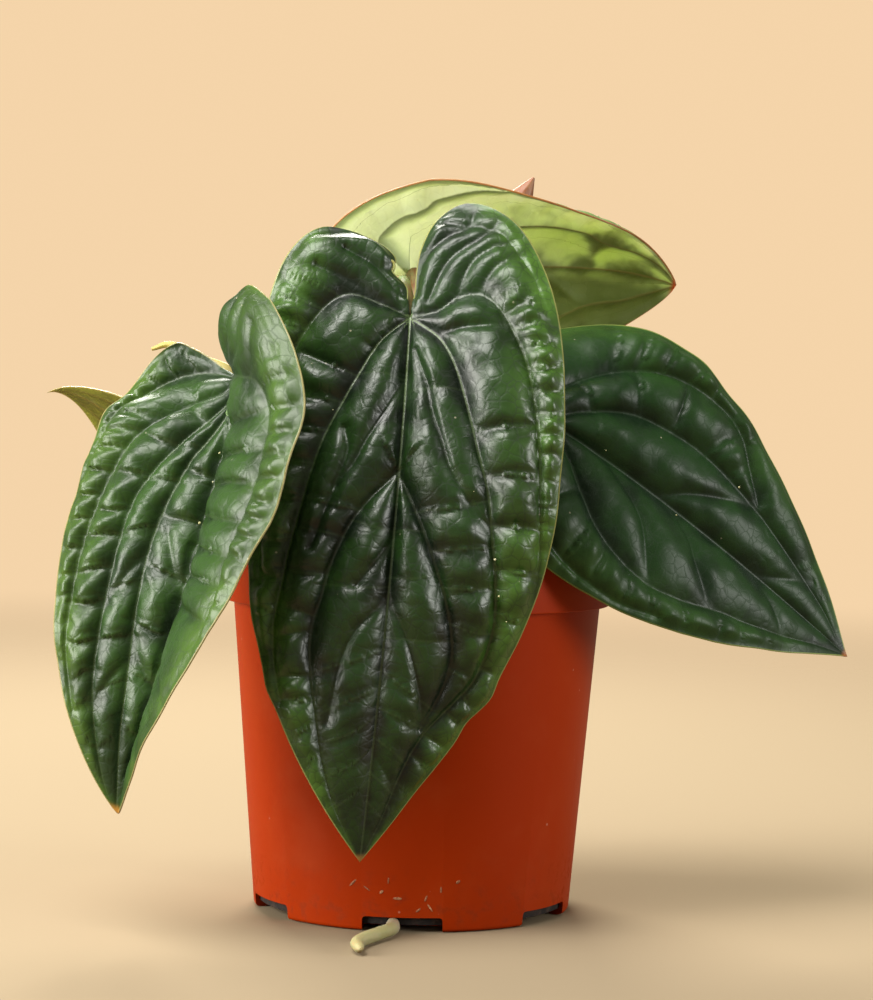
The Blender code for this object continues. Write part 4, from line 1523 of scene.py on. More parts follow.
@dataclass
class PotFlecks:
    """Pale fibres and grains stuck to the foot of the pot at the front.

    Each fleck is (sideways, height, length, width, tilt): millimetres, then degrees from level.
    """

    flecks: tuple[tuple[float, float, float, float, float], ...]

    def build(self) -> None:
        """Lay each fleck on the pot's outer face, all as one piece."""
        bm = bmesh.new()
        for x, z, length, width, tilt in self.flecks:
            radius = inner_radius(z * MM) + WALL
            turn = math.asin(x * MM / radius)
            made = bmesh.ops.create_icosphere(bm, subdivisions=2, radius=0.5)["verts"]
            bmesh.ops.scale(bm, vec=(length * MM, 0.35 * width * MM, width * MM), verts=made)
            for vertex in made:
                vertex.co.z += 0.25 * width * MM * math.sin(2.2 * vertex.co.x / (length * MM))
            lean = Matrix.Rotation(math.radians(-tilt), 3, "Y")
            bmesh.ops.rotate(bm, cent=(0, 0, 0), matrix=lean, verts=made)
            bmesh.ops.translate(bm, vec=(0.0, -radius, z * MM), verts=made)
            bmesh.ops.rotate(bm, cent=(0, 0, 0), matrix=Matrix.Rotation(turn, 3, "Z"), verts=made)
        make_piece(bm, "pot_flecks", FLECK, "")


class Grain(Enum):
    """The kinds of grain in the potting mix."""

    CRUMB = "peat_crumbs"
    CHIP = "bark_chips"
    PERLITE = "perlite_grains"


@dataclass(frozen=True)
class GrainLot:
    """How many grains of one kind there are, their smallest and largest size in mm, and their finish."""

    count: int
    smallest: float
    largest: float
    finish: EarthFinish


LOTS = {Grain.CRUMB: GrainLot(1500, 0.6, 2.1, CRUMB), Grain.CHIP: GrainLot(150, 1.6, 3.6, CHIP),
        Grain.PERLITE: GrainLot(60, 0.9, 1.8, PERLITE)}


@dataclass
class PottingMix:
    """The soil: a lumpy bed with a hole for the crown, strewn with crumbs, bark and perlite."""

    seed: int = 11
    lump: float = 0.0016
    reach: float = 0.0572         # how far out the grains lie
    clear: float = 0.0012         # and how far from the crown

    def height_at(self, x: float, y: float) -> float:
        """Find the height of the bed's top.

        Args:
            x: The place to the right of the pot's axis.
            y: The place behind it.

        Returns:
            The height.
        """
        radius = math.hypot(x, y)
        calm = min(1.0, max(0.0, (radius - CROWN_RADIUS) / 0.0075))
        broad = noise.noise((70 * x, 70 * y, 2.0))
        fine = noise.noise((380 * x, 380 * y, 5.0)) * 0.5
        wall = 0.0016 * math.exp(-((0.0560 - radius) / 0.004) ** 2)
        return SOIL_TOP + self.lump * calm * (broad + fine) - wall

    def bed(self) -> None:
        """Spin the bed and press its lumps into the top."""
        hole = CROWN_RADIUS + 0.0002
        edge = inner_radius(RIM_BOTTOM) - 0.0004
        floor = FLOOR + 0.0004
        outline = [(0.0, CROWN_BOTTOM), (hole, CROWN_BOTTOM)]
        outline += [(hole + (edge - hole) * i / 60, SOIL_TOP) for i in range(61)]
        outline += [(edge, RIM_BOTTOM), (inner_radius(floor) - 0.0004, floor), (0.0, floor)]
        bm = spun(outline, 180)
        for vertex in bm.verts:
            if vertex.co.z > SOIL_TOP - 0.0001:
                vertex.co.z = self.height_at(vertex.co.x, vertex.co.y)
        make_piece(bm, "soil_bed", PEAT, "soil")

    def spot(self, draw: random.Random) -> Vector:
        """Draw a place on the bed, clear of the crown.

        Args:
            draw: The source of chance.

        Returns:
            The place.
        """
        while True:
            radius = self.reach * math.sqrt(draw.random())
            turn = draw.uniform(0, 2 * math.pi)
            x, y = radius * math.cos(turn), radius * math.sin(turn)
            if radius > CROWN_RADIUS + self.clear:
                return Vector((x, y, self.height_at(x, y)))

    def grain(self, kind: Grain, draw: random.Random) -> BMesh:
        """Shape one grain and lay it on the bed.

        Args:
            kind: The kind.
            draw: The source of chance.

        Returns:
            The grain.
        """
        size = draw.uniform(LOTS[kind].smallest, LOTS[kind].largest) * MM
        bm = bmesh.new()
        if kind is Grain.CHIP:
            bmesh.ops.create_cube(bm, size=size)
            bmesh.ops.scale(bm, vec=(1.0, draw.uniform(0.4, 0.8), draw.uniform(0.25, 0.45)), verts=bm.verts)
            bmesh.ops.bevel(bm, geom=bm.edges, offset=0.08 * size, segments=1, profile=0.5, affect="EDGES",
                            material=-1)
        else:
            bmesh.ops.create_icosphere(bm, subdivisions=1, radius=size / 2)
        phase = Vector((draw.uniform(0, 100), 0, 0))
        for vertex in bm.verts:
            vertex.co *= 1.0 + 0.45 * noise.noise(vertex.co / size * 1.9 + phase)
        axis = Vector((draw.gauss(0, 1), draw.gauss(0, 1), draw.gauss(0, 1)))
        bmesh.ops.transform(bm, matrix=Matrix.Rotation(draw.uniform(0, ROUND), 4, axis), verts=bm.verts)
        low = min(vertex.co.z for vertex in bm.verts)
        bmesh.ops.translate(bm, vec=self.spot(draw) + Vector((0, 0, -low - 0.3 * size)), verts=bm.verts)
        return bm

    def grains(self, kind: Grain) -> None:
        """Strew one kind of grain, all as one piece.

        Args:
            kind: The kind.
        """
        draw = random.Random(f"{self.seed}{kind.value}")
        bm = bmesh.new()
        for _ in range(LOTS[kind].count):
            absorb(bm, self.grain(kind, draw))
        make_piece(bm, kind.value, LOTS[kind].finish, "", 25.0)

    def build(self) -> None:
        """Build the bed and every kind of grain."""
        self.bed()
        for kind in Grain:
            self.grains(kind)


@dataclass
class Crown:
    """The short stem that the stalks stand in, with leaf scars, dry sheaths and root nubs."""

    nubs: tuple[Trio, ...]     # azimuth in degrees, height, length
    nub_radius: float = 0.0016

    def stem(self) -> BMesh:
        """Spin the ringed stem and roughen its bark.

        Returns:
            The stem.
        """
        r, top, bottom = CROWN_RADIUS, CROWN_TOP, CROWN_BOTTOM
        outline = [(0.0, top), (0.45 * r, top - 0.0005), (0.80 * r, top - 0.0040)]
        for i in range(25):
            height = top - 0.0050 - 0.0008 * i
            scar = 0.05 * abs(math.sin(0.52 * i)) ** 3
            outline.append((r * (0.98 - scar), height))
        outline += [(0.98 * r, top - 0.0300), (0.85 * r, bottom + 0.0060), (0.55 * r, bottom + 0.0004),
                    (0.0, bottom + 0.0004)]
        bm = spun(outline, 72)
        for vertex in bm.verts:
            out = Vector((vertex.co.x, vertex.co.y, 0.0))
            if out.length > 0.3 * r:
                vertex.co += out.normalized() * 0.0005 * (noise.noise(vertex.co * 420) - 0.4)
        return bm

    def sheath(self, azimuth: float, height: float, length: float) -> BMesh:
        """Make one dry, torn sheath that clasps the stem and flares at its top.

        Args:
            azimuth: Where it sits, in degrees.
            height: The height of its foot.
            length: Its length.

        Returns:
            The sheath.
        """
        bm = bmesh.new()
        bmesh.ops.create_grid(bm, x_segments=10, y_segments=14, size=0.5)
        for vertex in bm.verts:
            across, up = vertex.co.x, vertex.co.y + 0.5
            width = 0.9 * (1 - up ** 2.5) + 0.05
            turn = math.radians(azimuth) + across * width * 1.3
            flare = 0.0006 + 0.0022 * up ** 3 + 0.0005 * noise.noise((9 * across, 7 * up, azimuth))
            radius = CROWN_RADIUS * 0.97 + flare
            tear = 0.002 * noise.noise((14 * across, azimuth, 1.0)) * up
            vertex.co = (radius * math.cos(turn), radius * math.sin(turn), height + length * up + tear)
        bmesh.ops.solidify(bm, geom=bm.faces, thickness=0.0003)
        return bm

    def build(self) -> None:
        """Build the stem, its sheaths and its root nubs as one piece."""
        bm = self.stem()
        for i in range(7):
            absorb(bm, self.sheath(47.0 * i + 12.0, 0.0980 + 0.0014 * (i % 3), 0.0125 + 0.0025 * (i % 2)))
        for azimuth, height, length in self.nubs:
            turn = math.radians(azimuth)
            out = np.array((math.cos(turn), math.sin(turn), 0.0))
            start = 0.6 * CROWN_RADIUS * out + np.array((0, 0, height + 0.0010))
            middle = (CROWN_RADIUS + 0.4 * length) * out + np.array((0, 0, height))
            end = (CROWN_RADIUS + 0.8 * length) * out + np.array((0, 0, height - 0.0012))
            path = curve_through(np.array([start, middle, end]), 0.0008)
            absorb(bm, tube(path, 14, lambda s, t: self.nub_radius * math.sqrt(max(0.02, 1 - s ** 5))))
        bmesh.ops.recalc_face_normals(bm, faces=bm.faces)
        make_piece(bm, "crown_bark_skin", BARK, "crown")


def vein_map_by_rule(form: BladeForm) -> VeinMap:
    """Draw the veins of a blade by the plan that all blades of this plant share.

    Args:
        form: The blade's size.

    Returns:
        Its veins: on each half a basal vein, a collective vein and three laterals.
    """
    surface = BladeSurface(form)
    length = surface.length / MM
    lines = {MIDRIB: ((0.0, 0.0), (0.0, 0.5 * length), (0.0, length))}
    creases = []
    ladders = []
    names = {-1: (LEFT_BASAL, LEFT_OUTER, LEFT_MARGIN),
             1: (RIGHT_BASAL, RIGHT_OUTER, RIGHT_MARGIN)}
    for side, (basal, collective, margin) in names.items():
        half = surface.half(side)
        lobe, width = half.lobe / MM, half.width / MM
        marks = (0.10, 0.30, 0.50, 0.70, 0.88)
        shares = (0.34, 0.52, 0.54, 0.52, 0.45)
        out = [float(surface.outer(np.array(k * length * MM), side)) / MM for k in marks]
        lines[basal] = ((0.0, 0.0), *((side * s * w, k * length) for s, w, k in zip(shares, out, marks)),
                        (0.0, length))
        lines[collective] = ((0.0, 0.0), (side * 0.36 * width, -0.30 * lobe),
                             (side * 0.66 * width, -0.15 * lobe),
                             (side * 0.83 * out[0], 0.10 * length), (side * 0.87 * out[1], 0.30 * length),
                             (side * 0.90 * out[2], 0.50 * length), (side * 0.95 * out[3], 0.70 * length))
        for start in (0.26, 0.46, 0.66):
            k = start + 0.16
            w = float(surface.outer(np.array(k * length * MM), side)) / MM
            creases.append(((0.0, start * length), (side * 0.2 * w, (start + 0.06) * length),
                            (side * 0.50 * w, k * length)))
        for turn in (0.25, 0.55, 0.8):
            creases.append(((side * 1.0, -1.0), (side * turn * 0.5 * width, -0.4 * lobe),
                            (side * turn * 0.8 * width, -0.8 * lobe)))
        ladders += [Ladder(basal, (collective, margin), 0.075 * length, 0.12 * length, 0.9 * length),
                    Ladder(collective, (margin,), 0.055 * length, 0.1 * length, 1.1 * length),
                    Ladder(MIDRIB, (basal,), 0.13 * length, 0.15 * length, 0.85 * length, lean=4.0)]
    return VeinMap(lines, tuple(creases), tuple(ladders))


FRONT_FORM = BladeForm(
    notch=(-0.0036, -0.0567, 0.1814), knee=(-0.0060, -0.0880, 0.1150), tip=(-0.0149, -0.0726, 0.0247),
    face_notch=(-0.07, -1.0, 0.25), face_tip=(0.25, -1.0, 0.09),
    left=Half(0.0462, 0.0267, 0.0250, 1, (15, 1, 3), (-7, -43, -22), kinks=((0.113, 0.0007, 0.004),),
              bites=((-0.0140, 0.0038, 0.0030),)),
    right=Half(0.0468, 0.0372, 0.0155, 1, (12, 18, -19), (-14, -26, -13),
               kinks=((0.1105, 0.0013, 0.0045), (0.1185, -0.0009, 0.0040))),
    widest=0.23, taper=(2.35, 1.01), gap=0.0010)
LEFT_FORM = BladeForm(
    notch=(-0.0530, -0.0459, 0.1627), knee=(-0.0583, -0.0789, 0.1260), tip=(-0.0856, -0.0633, 0.0360),
    face_notch=(-0.50, -0.79, 0.52), face_tip=(-0.45, -1.0, 0.12),
    left=Half(0.0454, 0.0164, 0.0204, -70, (-12, 16, 23), (40, -21, -7), straight=0.0, open=0.8),
    right=Half(0.0427, 0.0101, 0.0326, -2, (102, 40, 58), (-107, -26, 5), straight=0.06),
    widest=0.19, taper=(2.52, 0.87), gap=0.0010)
RIGHT_FORM = BladeForm(
    notch=(0.0384, -0.0306, 0.1514), knee=(0.0753, -0.0261, 0.1304), tip=(0.1351, -0.0002, 0.0803),
    face_notch=(0.44, -0.75, 0.43), face_tip=(0.30, -0.90, 0.41),
    left=Half(0.0437, 0.0260, 0.0170, 12, (9, 10, 12), (-20, -27, -11)),
    right=Half(0.0474, 0.0243, 0.0167, 12, (-4, 16, 8), (-28, -8, -30)),
    widest=0.19, taper=(1.97, 1.09), gap=0.0010)
BACK_FORM = BladeForm(
    notch=(-0.0045, 0.0039, 0.1967), knee=(0.0559, 0.0384, 0.2071), tip=(0.0820, 0.0329, 0.1970),
    face_notch=(-0.22, 0.75, 0.10), face_tip=(0.11, 0.75, 1.12),
    left=Half(0.0388, 0.0319, 0.0071, -10, (-14, -17, -11), (-20, -37, -31)),
    right=Half(0.0362, 0.0240, 0.0150, 12, (5, 8, -13), (-20, -25, -21)),
    widest=0.37, taper=(2.48, 0.72), gap=0.0010)
YOUNG_FORM = BladeForm(
    notch=(-0.0734, 0.0027, 0.1320), knee=(-0.1073, 0.0061, 0.1635), tip=(-0.1181, 0.0113, 0.1580),
    face_notch=(0.40, 0.75, 0.63), face_tip=(0.28, 0.75, 0.62),
    left=Half(0.0183, 0.0090, 0.0070, 5, (8, 6, 9), (-15, -19, -14)),
    right=Half(0.0136, 0.0090, 0.0070, 5, (8, 6, 7), (-15, -19, -14)),
    widest=0.22, taper=(1.92, 1.68), gap=0.0008)

FRONT_VEINS = VeinMap(
    lines={
        MIDRIB: ((0, 0), (0, 80), (0, 160)),
        LEFT_BASAL: ((0, 0), (-8, 8), (-14, 19), (-19, 29), (-23, 38), (-26, 49), (-28, 60), (-30, 72),
                     (-31, 83), (-32, 94), (-31, 104), (-28, 115)),
        LEFT_OUTER: ((0, 0), (-10, -4), (-18, -6), (-24, -3), (-29, 3), (-33, 10), (-37, 20), (-39, 32),
                     (-41, 45), (-41, 58), (-40, 70), (-38, 82)),
        LEFT_LATERAL: ((0, 47), (-8, 56), (-13, 64), (-17, 75), (-19, 85), (-21, 95), (-20, 107),
                       (-17, 120), (-14, 132), (-9, 145), (-2, 157)),
        RIGHT_BASAL: ((0, 0), (9, 7), (14, 15), (18, 26), (22, 39), (26, 52), (28, 64), (30, 76), (31, 90),
                      (28, 104), (22, 113), (15, 122), (10, 133), (6, 146), (1, 158)),
        RIGHT_OUTER: ((0, 0), (8, -1), (14, -5), (21, -6), (27, -1), (31, 6), (35, 15), (38, 27), (40, 40),
                      (41, 53), (42, 66), (42, 80)),
        RIGHT_LATERAL: ((0, 48), (4, 55), (8, 63), (12, 72), (16, 82), (19, 92), (20, 101), (18, 110),
                        (14, 120)),
    },
    creases=(
        ((0, 18), (-4, 27), (-7, 33), (-10, 39), (-13, 46), (-17, 52), (-20, 60), (-23, 70)),
        ((0, 66), (-5, 74), (-9, 80)),
        ((0, 84), (-6, 90), (-9, 94), (-12, 103), (-14, 120)),
        ((3, 12), (7, 22), (9, 30), (12, 38), (15, 46), (21, 55), (27, 62)),
        ((0, 84), (6, 94), (11, 108), (14, 119)),
        ((0, 128), (4, 133), (8, 139)),
        ((1, 2), (9, 6), (17, 5), (27, 4)),
        ((1, -4), (3, -16), (9, -24), (16, -28), (18, -34)),
        ((6, -5), (9, -13), (13, -19), (21, -25), (26, -31)),
        ((14, -7), (18, -16), (24, -21), (28, -22), (34, -26)),
        ((20, -7), (26, -15), (32, -18), (39, -19)),
        ((28, 1), (33, -3), (38, -8), (44, -10)),
        ((9, -30), (16, -29), (21, -28), (27, -25), (32, -18), (36, -11), (38, -6), (42, 4)),
        ((-10, -4), (-15, -8), (-22, -11), (-28, -13)),
        ((-27, -2), (-33, -6), (-38, -10)),
        ((-3, -3), (-6, -9), (-12, -15), (-20, -19)),
        ((-16, 36), (-15, 42), (-18, 52)),
        ((-21, 95), (-26, 96), (-31, 98)),
    ),
    ladders=(
        Ladder(LEFT_BASAL, (LEFT_OUTER, LEFT_MARGIN), 10.5, 14, 120),
        Ladder(LEFT_OUTER, (LEFT_MARGIN,), 6.5, 22, 120),
        Ladder(LEFT_LATERAL, (LEFT_BASAL, LEFT_MARGIN), 10.5, 16, 58, depth=0.8),
        Ladder(LEFT_LATERAL, (LEFT_BASAL, LEFT_MARGIN), 7.5, 66, 116),
        Ladder(MIDRIB, (LEFT_LATERAL, LEFT_BASAL), 15.0, 20, 90, lean=5.0, reach=20, depth=0.25),
        Ladder(MIDRIB, (LEFT_LATERAL, LEFT_BASAL), 10.0, 98, 144, lean=5.0, depth=0.55),
        Ladder(RIGHT_BASAL, (RIGHT_OUTER, RIGHT_MARGIN), 13.5, 42, 100),
        Ladder(RIGHT_BASAL, (RIGHT_OUTER, RIGHT_MARGIN), 8.0, 110, 172),
        Ladder(RIGHT_OUTER, (RIGHT_MARGIN,), 6.0, 26, 125),
        Ladder(RIGHT_LATERAL, (RIGHT_BASAL,), 12.0, 12, 70, depth=0.7),
        Ladder(MIDRIB, (RIGHT_LATERAL, RIGHT_BASAL), 15.0, 24, 96, lean=4.0, reach=20, depth=0.25),
        Ladder(MIDRIB, (RIGHT_LATERAL, RIGHT_BASAL), 10.0, 104, 144, lean=4.0, depth=0.55),
    ))
LEFT_VEINS = VeinMap(
    lines={
        MIDRIB: ((0, 0), (-1, 12), (-5, 22), (-9, 30), (-13, 46), (-14, 62), (-12, 80), (-9, 97), (-6, 114),
                 (-1, 134)),
        LEFT_BASAL: ((0, 0), (-2, 9), (-8, 17), (-14, 25), (-19, 33), (-23, 43), (-24, 55), (-23, 72),
                     (-21, 88), (-18, 103), (-13, 116), (-7, 128), (-2, 135)),
        LEFT_OUTER: ((0, 0), (-5, 5), (-12, 8), (-19, 12), (-25, 17), (-30, 24), (-33, 34), (-35, 48),
                     (-35, 64), (-33, 80), (-29, 96), (-22, 111)),
        LEFT_LATERAL: ((-2, -1), (-8, -4), (-15, -6), (-23, -6), (-30, -3), (-37, 5), (-41, 15), (-43, 27),
                       (-44, 40)),
        RIGHT_BASAL: ((0, 0), (3, 5), (5, 11), (3, 17), (1, 25), (0, 35), (0, 46), (2, 58), (1, 70),
                      (0, 80), (2, 90), (2, 100), (0, 112), (-1, 124)),
        RIGHT_OUTER: ((0, 0), (8, 5), (16, 10), (24, 14), (28, 20), (29, 30), (30, 40), (29, 50), (29, 58),
                      (32, 66), (34, 78)),
    },
    creases=(
        ((-13, 46), (-9, 54), (-4, 64), (0, 70)),
        ((-11, 86), (-6, 92), (0, 98)),
        ((0, 0), (9, 2), (18, 0), (26, -5), (31, -8)),
        ((0, 0), (10, 4), (20, 5), (28, 0), (34, -5)),
        ((21, 13), (26, 9), (31, 4)),
        ((-8, -4), (-12, -9), (-18, -13)),
        ((-14, 60), (-18, 68), (-22, 78)),
        ((-10, 92), (-14, 100), (-17, 108)),
    ),
    ladders=(
        Ladder(LEFT_BASAL, (LEFT_OUTER, LEFT_MARGIN), 10.5, 18, 140, lean=3.0),
        Ladder(LEFT_OUTER, (LEFT_LATERAL, LEFT_MARGIN), 9.0, 16, 130, lean=2.5),
        Ladder(LEFT_LATERAL, (LEFT_MARGIN,), 6.5, 14, 90),
        Ladder(MIDRIB, (LEFT_BASAL,), 15.0, 26, 125, lean=4.0),
        Ladder(MIDRIB, (RIGHT_BASAL,), 15.0, 34, 120, lean=2.0),
        Ladder(RIGHT_BASAL, (RIGHT_OUTER,), 9.0, 20, 80, lean=2.0, reach=38, level=True),
        Ladder(RIGHT_BASAL, (RIGHT_MARGIN,), 9.0, 84, 130, reach=34),
        Ladder(RIGHT_OUTER, (RIGHT_MARGIN,), 5.5, 18, 110),
    ))
RIGHT_VEINS = VeinMap(
    lines={
        MIDRIB: ((0, 0), (0, 60), (0, 124)),
        LEFT_BASAL: ((0, 0), (-8, 9), (-17, 18), (-24, 27), (-28, 38), (-29, 50), (-26, 62), (-21, 74),
                     (-17, 86), (-12, 98), (-6, 110), (-1, 121)),
        LEFT_OUTER: ((0, 0), (-11, -3), (-22, -2), (-31, 6), (-37, 15), (-40, 28), (-40, 42), (-36, 56)),
        RIGHT_BASAL: ((0, 0), (8, 6), (17, 20), (20, 33), (21, 46), (20, 58), (18, 70), (15, 82), (11, 95),
                      (7, 107), (2, 118)),
        RIGHT_OUTER: ((0, 0), (9, -3), (19, 3), (28, 12), (35, 24), (38, 36), (38, 48), (34, 57), (27, 64),
                      (20, 71)),
    },
    creases=(
        ((0, 40), (7, 49), (12, 58), (17, 68)),
        ((0, 82), (6, 92), (11, 100)),
        ((0, 18), (-7, 30), (-13, 38), (-20, 43), (-26, 47)),
        ((-2, 48), (-7, 55), (-13, 60), (-21, 69)),
        ((-1, 80), (-6, 90), (-12, 98)),
        ((2, -2), (6, -10), (12, -19)),
        ((9, -3), (16, -9), (24, -15)),
        ((-2, -2), (-6, -10), (-12, -20)),
        ((-11, -3), (-18, -9), (-26, -14)),
    ),
    ladders=(
        Ladder(LEFT_BASAL, (LEFT_OUTER, LEFT_MARGIN), 10.5, 12, 130, lean=1.5),
        Ladder(LEFT_OUTER, (LEFT_MARGIN,), 6.5, 14, 90),
        Ladder(RIGHT_BASAL, (RIGHT_OUTER, RIGHT_MARGIN), 12.5, 16, 125),
        Ladder(RIGHT_OUTER, (RIGHT_MARGIN,), 8.0, 18, 88),
        Ladder(MIDRIB, (LEFT_BASAL,), 20.0, 24, 112, lean=5.0, reach=20, depth=0.3),
        Ladder(MIDRIB, (RIGHT_BASAL,), 20.0, 16, 112, lean=5.0, reach=20, depth=0.3),
    ))

BACK_VEINS = VeinMap(
    lines={
        MIDRIB: ((0, 0), (0, 45), (0, 94)),
        LEFT_BASAL: ((0, 0), (-8, 10), (-15, 22), (-20, 35), (-22, 43), (-22, 50), (-21, 56), (-17, 62),
                     (-15, 69), (-14, 77), (-11, 84), (-6, 90), (0, 94)),
        LEFT_OUTER: ((0, 0), (-7, -7), (-13, -12), (-18, -9), (-21, -5), (-22, -1), (-24, 2), (-27, 4),
                     (-30, 9), (-34, 15), (-37, 21)),
        RIGHT_BASAL: ((0, 0), (6, 12), (13, 26), (18, 40), (20, 54), (18, 60), (15, 65), (13, 71), (11, 78),
                      (8, 83), (4, 89), (0, 94)),
        RIGHT_OUTER: ((0, 0), (12, -4), (22, 2), (29, 12), (32, 24), (33, 36), (31, 48)),
    },
    creases=(
        ((-16, 63), (-8, 63), (-1, 64)),
        ((5, 51), (10, 58), (15, 65)),
        ((-8, 10), (-3, 22), (0, 32)),
    ),
    ladders=(
        Ladder(LEFT_BASAL, (LEFT_MARGIN,), 9.0, 18, 92, reach=26),
        Ladder(LEFT_OUTER, (LEFT_MARGIN,), 8.0, 14, 44),
        Ladder(RIGHT_BASAL, (RIGHT_OUTER, RIGHT_MARGIN), 11.0, 18, 92),
    ))

BLADES = (
    LeafBlade("leaf_front_blade", "leaf_dark", FRONT_FORM, FRONT_VEINS, DARK_TOP, GREEN_BELOW,
              Quilt(4.8, rise=0.85, fall=0.85, rung_cut=0.80, crease_width=1.9, crease_cut=0.55),
              columns=72, rows=300, lobe_rows=56, seed=3),
    LeafBlade("leaf_left_blade", "leaf_dark", LEFT_FORM, LEFT_VEINS, MID_TOP, GREEN_BELOW,
              Quilt(4.6, rise=1.0, fall=0.55, rung_cut=0.80, right_share=0.72),
              columns=66, rows=240, lobe_rows=30, seed=5),
    LeafBlade("leaf_right_blade", "leaf_dark", RIGHT_FORM, RIGHT_VEINS, DEEP_TOP, GREEN_BELOW,
              Quilt(4.2, rise=0.7, fall=0.9, rung_cut=0.65, net_depth=0.05),
              columns=66, rows=216, lobe_rows=36, seed=7),
    LeafBlade("leaf_back_blade", "leaf_pale", BACK_FORM, BACK_VEINS, PALE_TOP, PALE_BELOW,
              Quilt(2.8, rise=0.9, fall=0.9, rung_cut=0.35, dome=1.0, net_depth=0.03, ruffle=0.3),
              columns=60, rows=170, lobe_rows=44, seed=9, tip_reach=2.0),
    LeafBlade("leaf_young_blade", "leaf_olive", YOUNG_FORM, vein_map_by_rule(YOUNG_FORM), OLIVE_TOP,
              OLIVE_BELOW,
              Quilt(0.9, rung_cut=0.4, full_width=6.0, crease_cut=0.3, net_depth=0.03, ruffle=0.5),
              columns=36, rows=110, lobe_rows=18, seed=13, thickness=0.0004),
)

STALKS = (
    Stalk("leaf_front_stalk",
          ((0.0, -0.0075, 0.1080), (-0.0005, -0.0130, 0.1240), (-0.0030, -0.0220, 0.1600),
           (-0.0062, -0.0340, 0.1890), (-0.0058, -0.0430, 0.1920), (-0.0048, -0.0495, 0.1875)),
          0.0029, 0.0021, FRONT_FORM, STALK),
    Stalk("leaf_left_stalk",
          ((-0.0072, -0.0032, 0.1080), (-0.0145, -0.0075, 0.1240), (-0.0270, -0.0170, 0.1480),
           (-0.0430, -0.0300, 0.1640)),
          0.0029, 0.0020, LEFT_FORM, STALK),
    Stalk("leaf_right_stalk",
          ((0.0072, -0.0032, 0.1070), (0.0150, -0.0080, 0.1215), (0.0270, -0.0150, 0.1390)),
          0.0028, 0.0020, RIGHT_FORM, STALK),
    Stalk("leaf_back_stalk",
          ((0.0064, 0.0046, 0.1090), (0.0090, 0.0060, 0.1260), (0.0070, 0.0000, 0.1560),
           (-0.0010, -0.0050, 0.1840)),
          0.0027, 0.0019, BACK_FORM, STALK),
    Stalk("leaf_young_stalk",
          ((-0.0074, 0.0027, 0.1090), (-0.0180, 0.0045, 0.1165), (-0.0400, 0.0010, 0.1205),
           (-0.0600, -0.0040, 0.1185), (-0.0710, -0.0055, 0.1225)),
          0.0020, 0.0013, YOUNG_FORM, YOUNG_STALK),
)

FURLED = (
    FurledLeaf("leaf_new_red", "leaf_red",
               ((0.0003, 0.0010, 0.1120), (0.0010, 0.0090, 0.1300), (0.0080, 0.0350, 0.1600),
                (0.0190, 0.0490, 0.1860), (0.0256, 0.0505, 0.2137), (0.0292, 0.0500, 0.2216),
                (0.0322, 0.0490, 0.2264), (0.0356, 0.0475, 0.2319)),
               (0.0020, 0.0017, 0.0017, 0.0017, 0.0017, 0.0019, 0.0024, 0.0032, 0.0042, 0.0050, 0.0057,
                0.0062, 0.0004), RED_ROLL, rolled_from=0.55),
    FurledLeaf("leaf_new_olive", "leaf_olive",
               ((-0.0026, 0.0076, 0.1100), (-0.0090, 0.0160, 0.1260), (-0.0384, 0.0200, 0.1477),
                (-0.0591, 0.0240, 0.1640), (-0.0700, 0.0260, 0.1690), (-0.0805, 0.0280, 0.1741),
                (-0.0870, 0.0290, 0.1727)),
               (0.0020, 0.0016, 0.0016, 0.0017, 0.0019, 0.0022, 0.0023, 0.0020, 0.0006), OLIVE_ROLL,
               rolled_from=0.55),
)

ROOT = StrayRoot(((-0.0052, -0.0482, 0.0024), (-0.0058, -0.0560, 0.0024), (-0.0120, -0.0680, 0.0023),
                  (-0.0152, -0.0770, 0.0023), (-0.0140, -0.0860, 0.0023)), 0.0020)
CROWN = Crown(nubs=((-120.0, 0.1030, 0.0060), (-55.0, 0.1020, 0.0050), (70.0, 0.1040, 0.0070),
                    (190.0, 0.1030, 0.0055)))
CURLED_EDGE = CurledEdge("leaf_front_curl", FRONT_FORM, -1, start=0.005, end=0.0145, radius=0.00050,
                         loop=(0.0013, 0.0018))
SPECKS = (
    LeafSpecks("leaf_front_specks", FRONT_FORM, 2.4,
               ((29, 70, 0.8), (31, 80, 0.7), (34, 87, 0.5), (3, 75, 0.5), (22, 52, 0.4), (-20, 30, 0.4))),
    LeafSpecks("leaf_left_specks", LEFT_FORM, 1.6,
               ((2, 27, 0.7), (3, 36, 0.5), (1, 48, 0.9), (6, 40, 0.4), (-8, 60, 0.4))),
    LeafSpecks("leaf_right_specks", RIGHT_FORM, 2.2,
               ((22, 24, 0.6), (2, 19, 0.5), (19, 62, 0.8), (-3, 48, 0.5))),
)
FLECKS = PotFlecks((
    (-17.3, 14.5, 3.2, 0.7, 38.0), (-13.2, 13.0, 2.6, 0.4, -40.0), (-8.8, 12.2, 1.3, 1.0, 10.0),
    (-6.8, 15.8, 2.2, 0.4, 80.0), (-4.0, 10.4, 2.6, 0.9, -14.0), (4.4, 10.6, 2.0, 0.6, 60.0),
    (5.6, 7.8, 3.0, 0.5, -60.0), (8.8, 13.2, 2.0, 0.6, 80.0), (13.8, 15.4, 1.4, 1.0, 5.0),
    (2.2, 7.0, 1.8, 0.7, 30.0)))


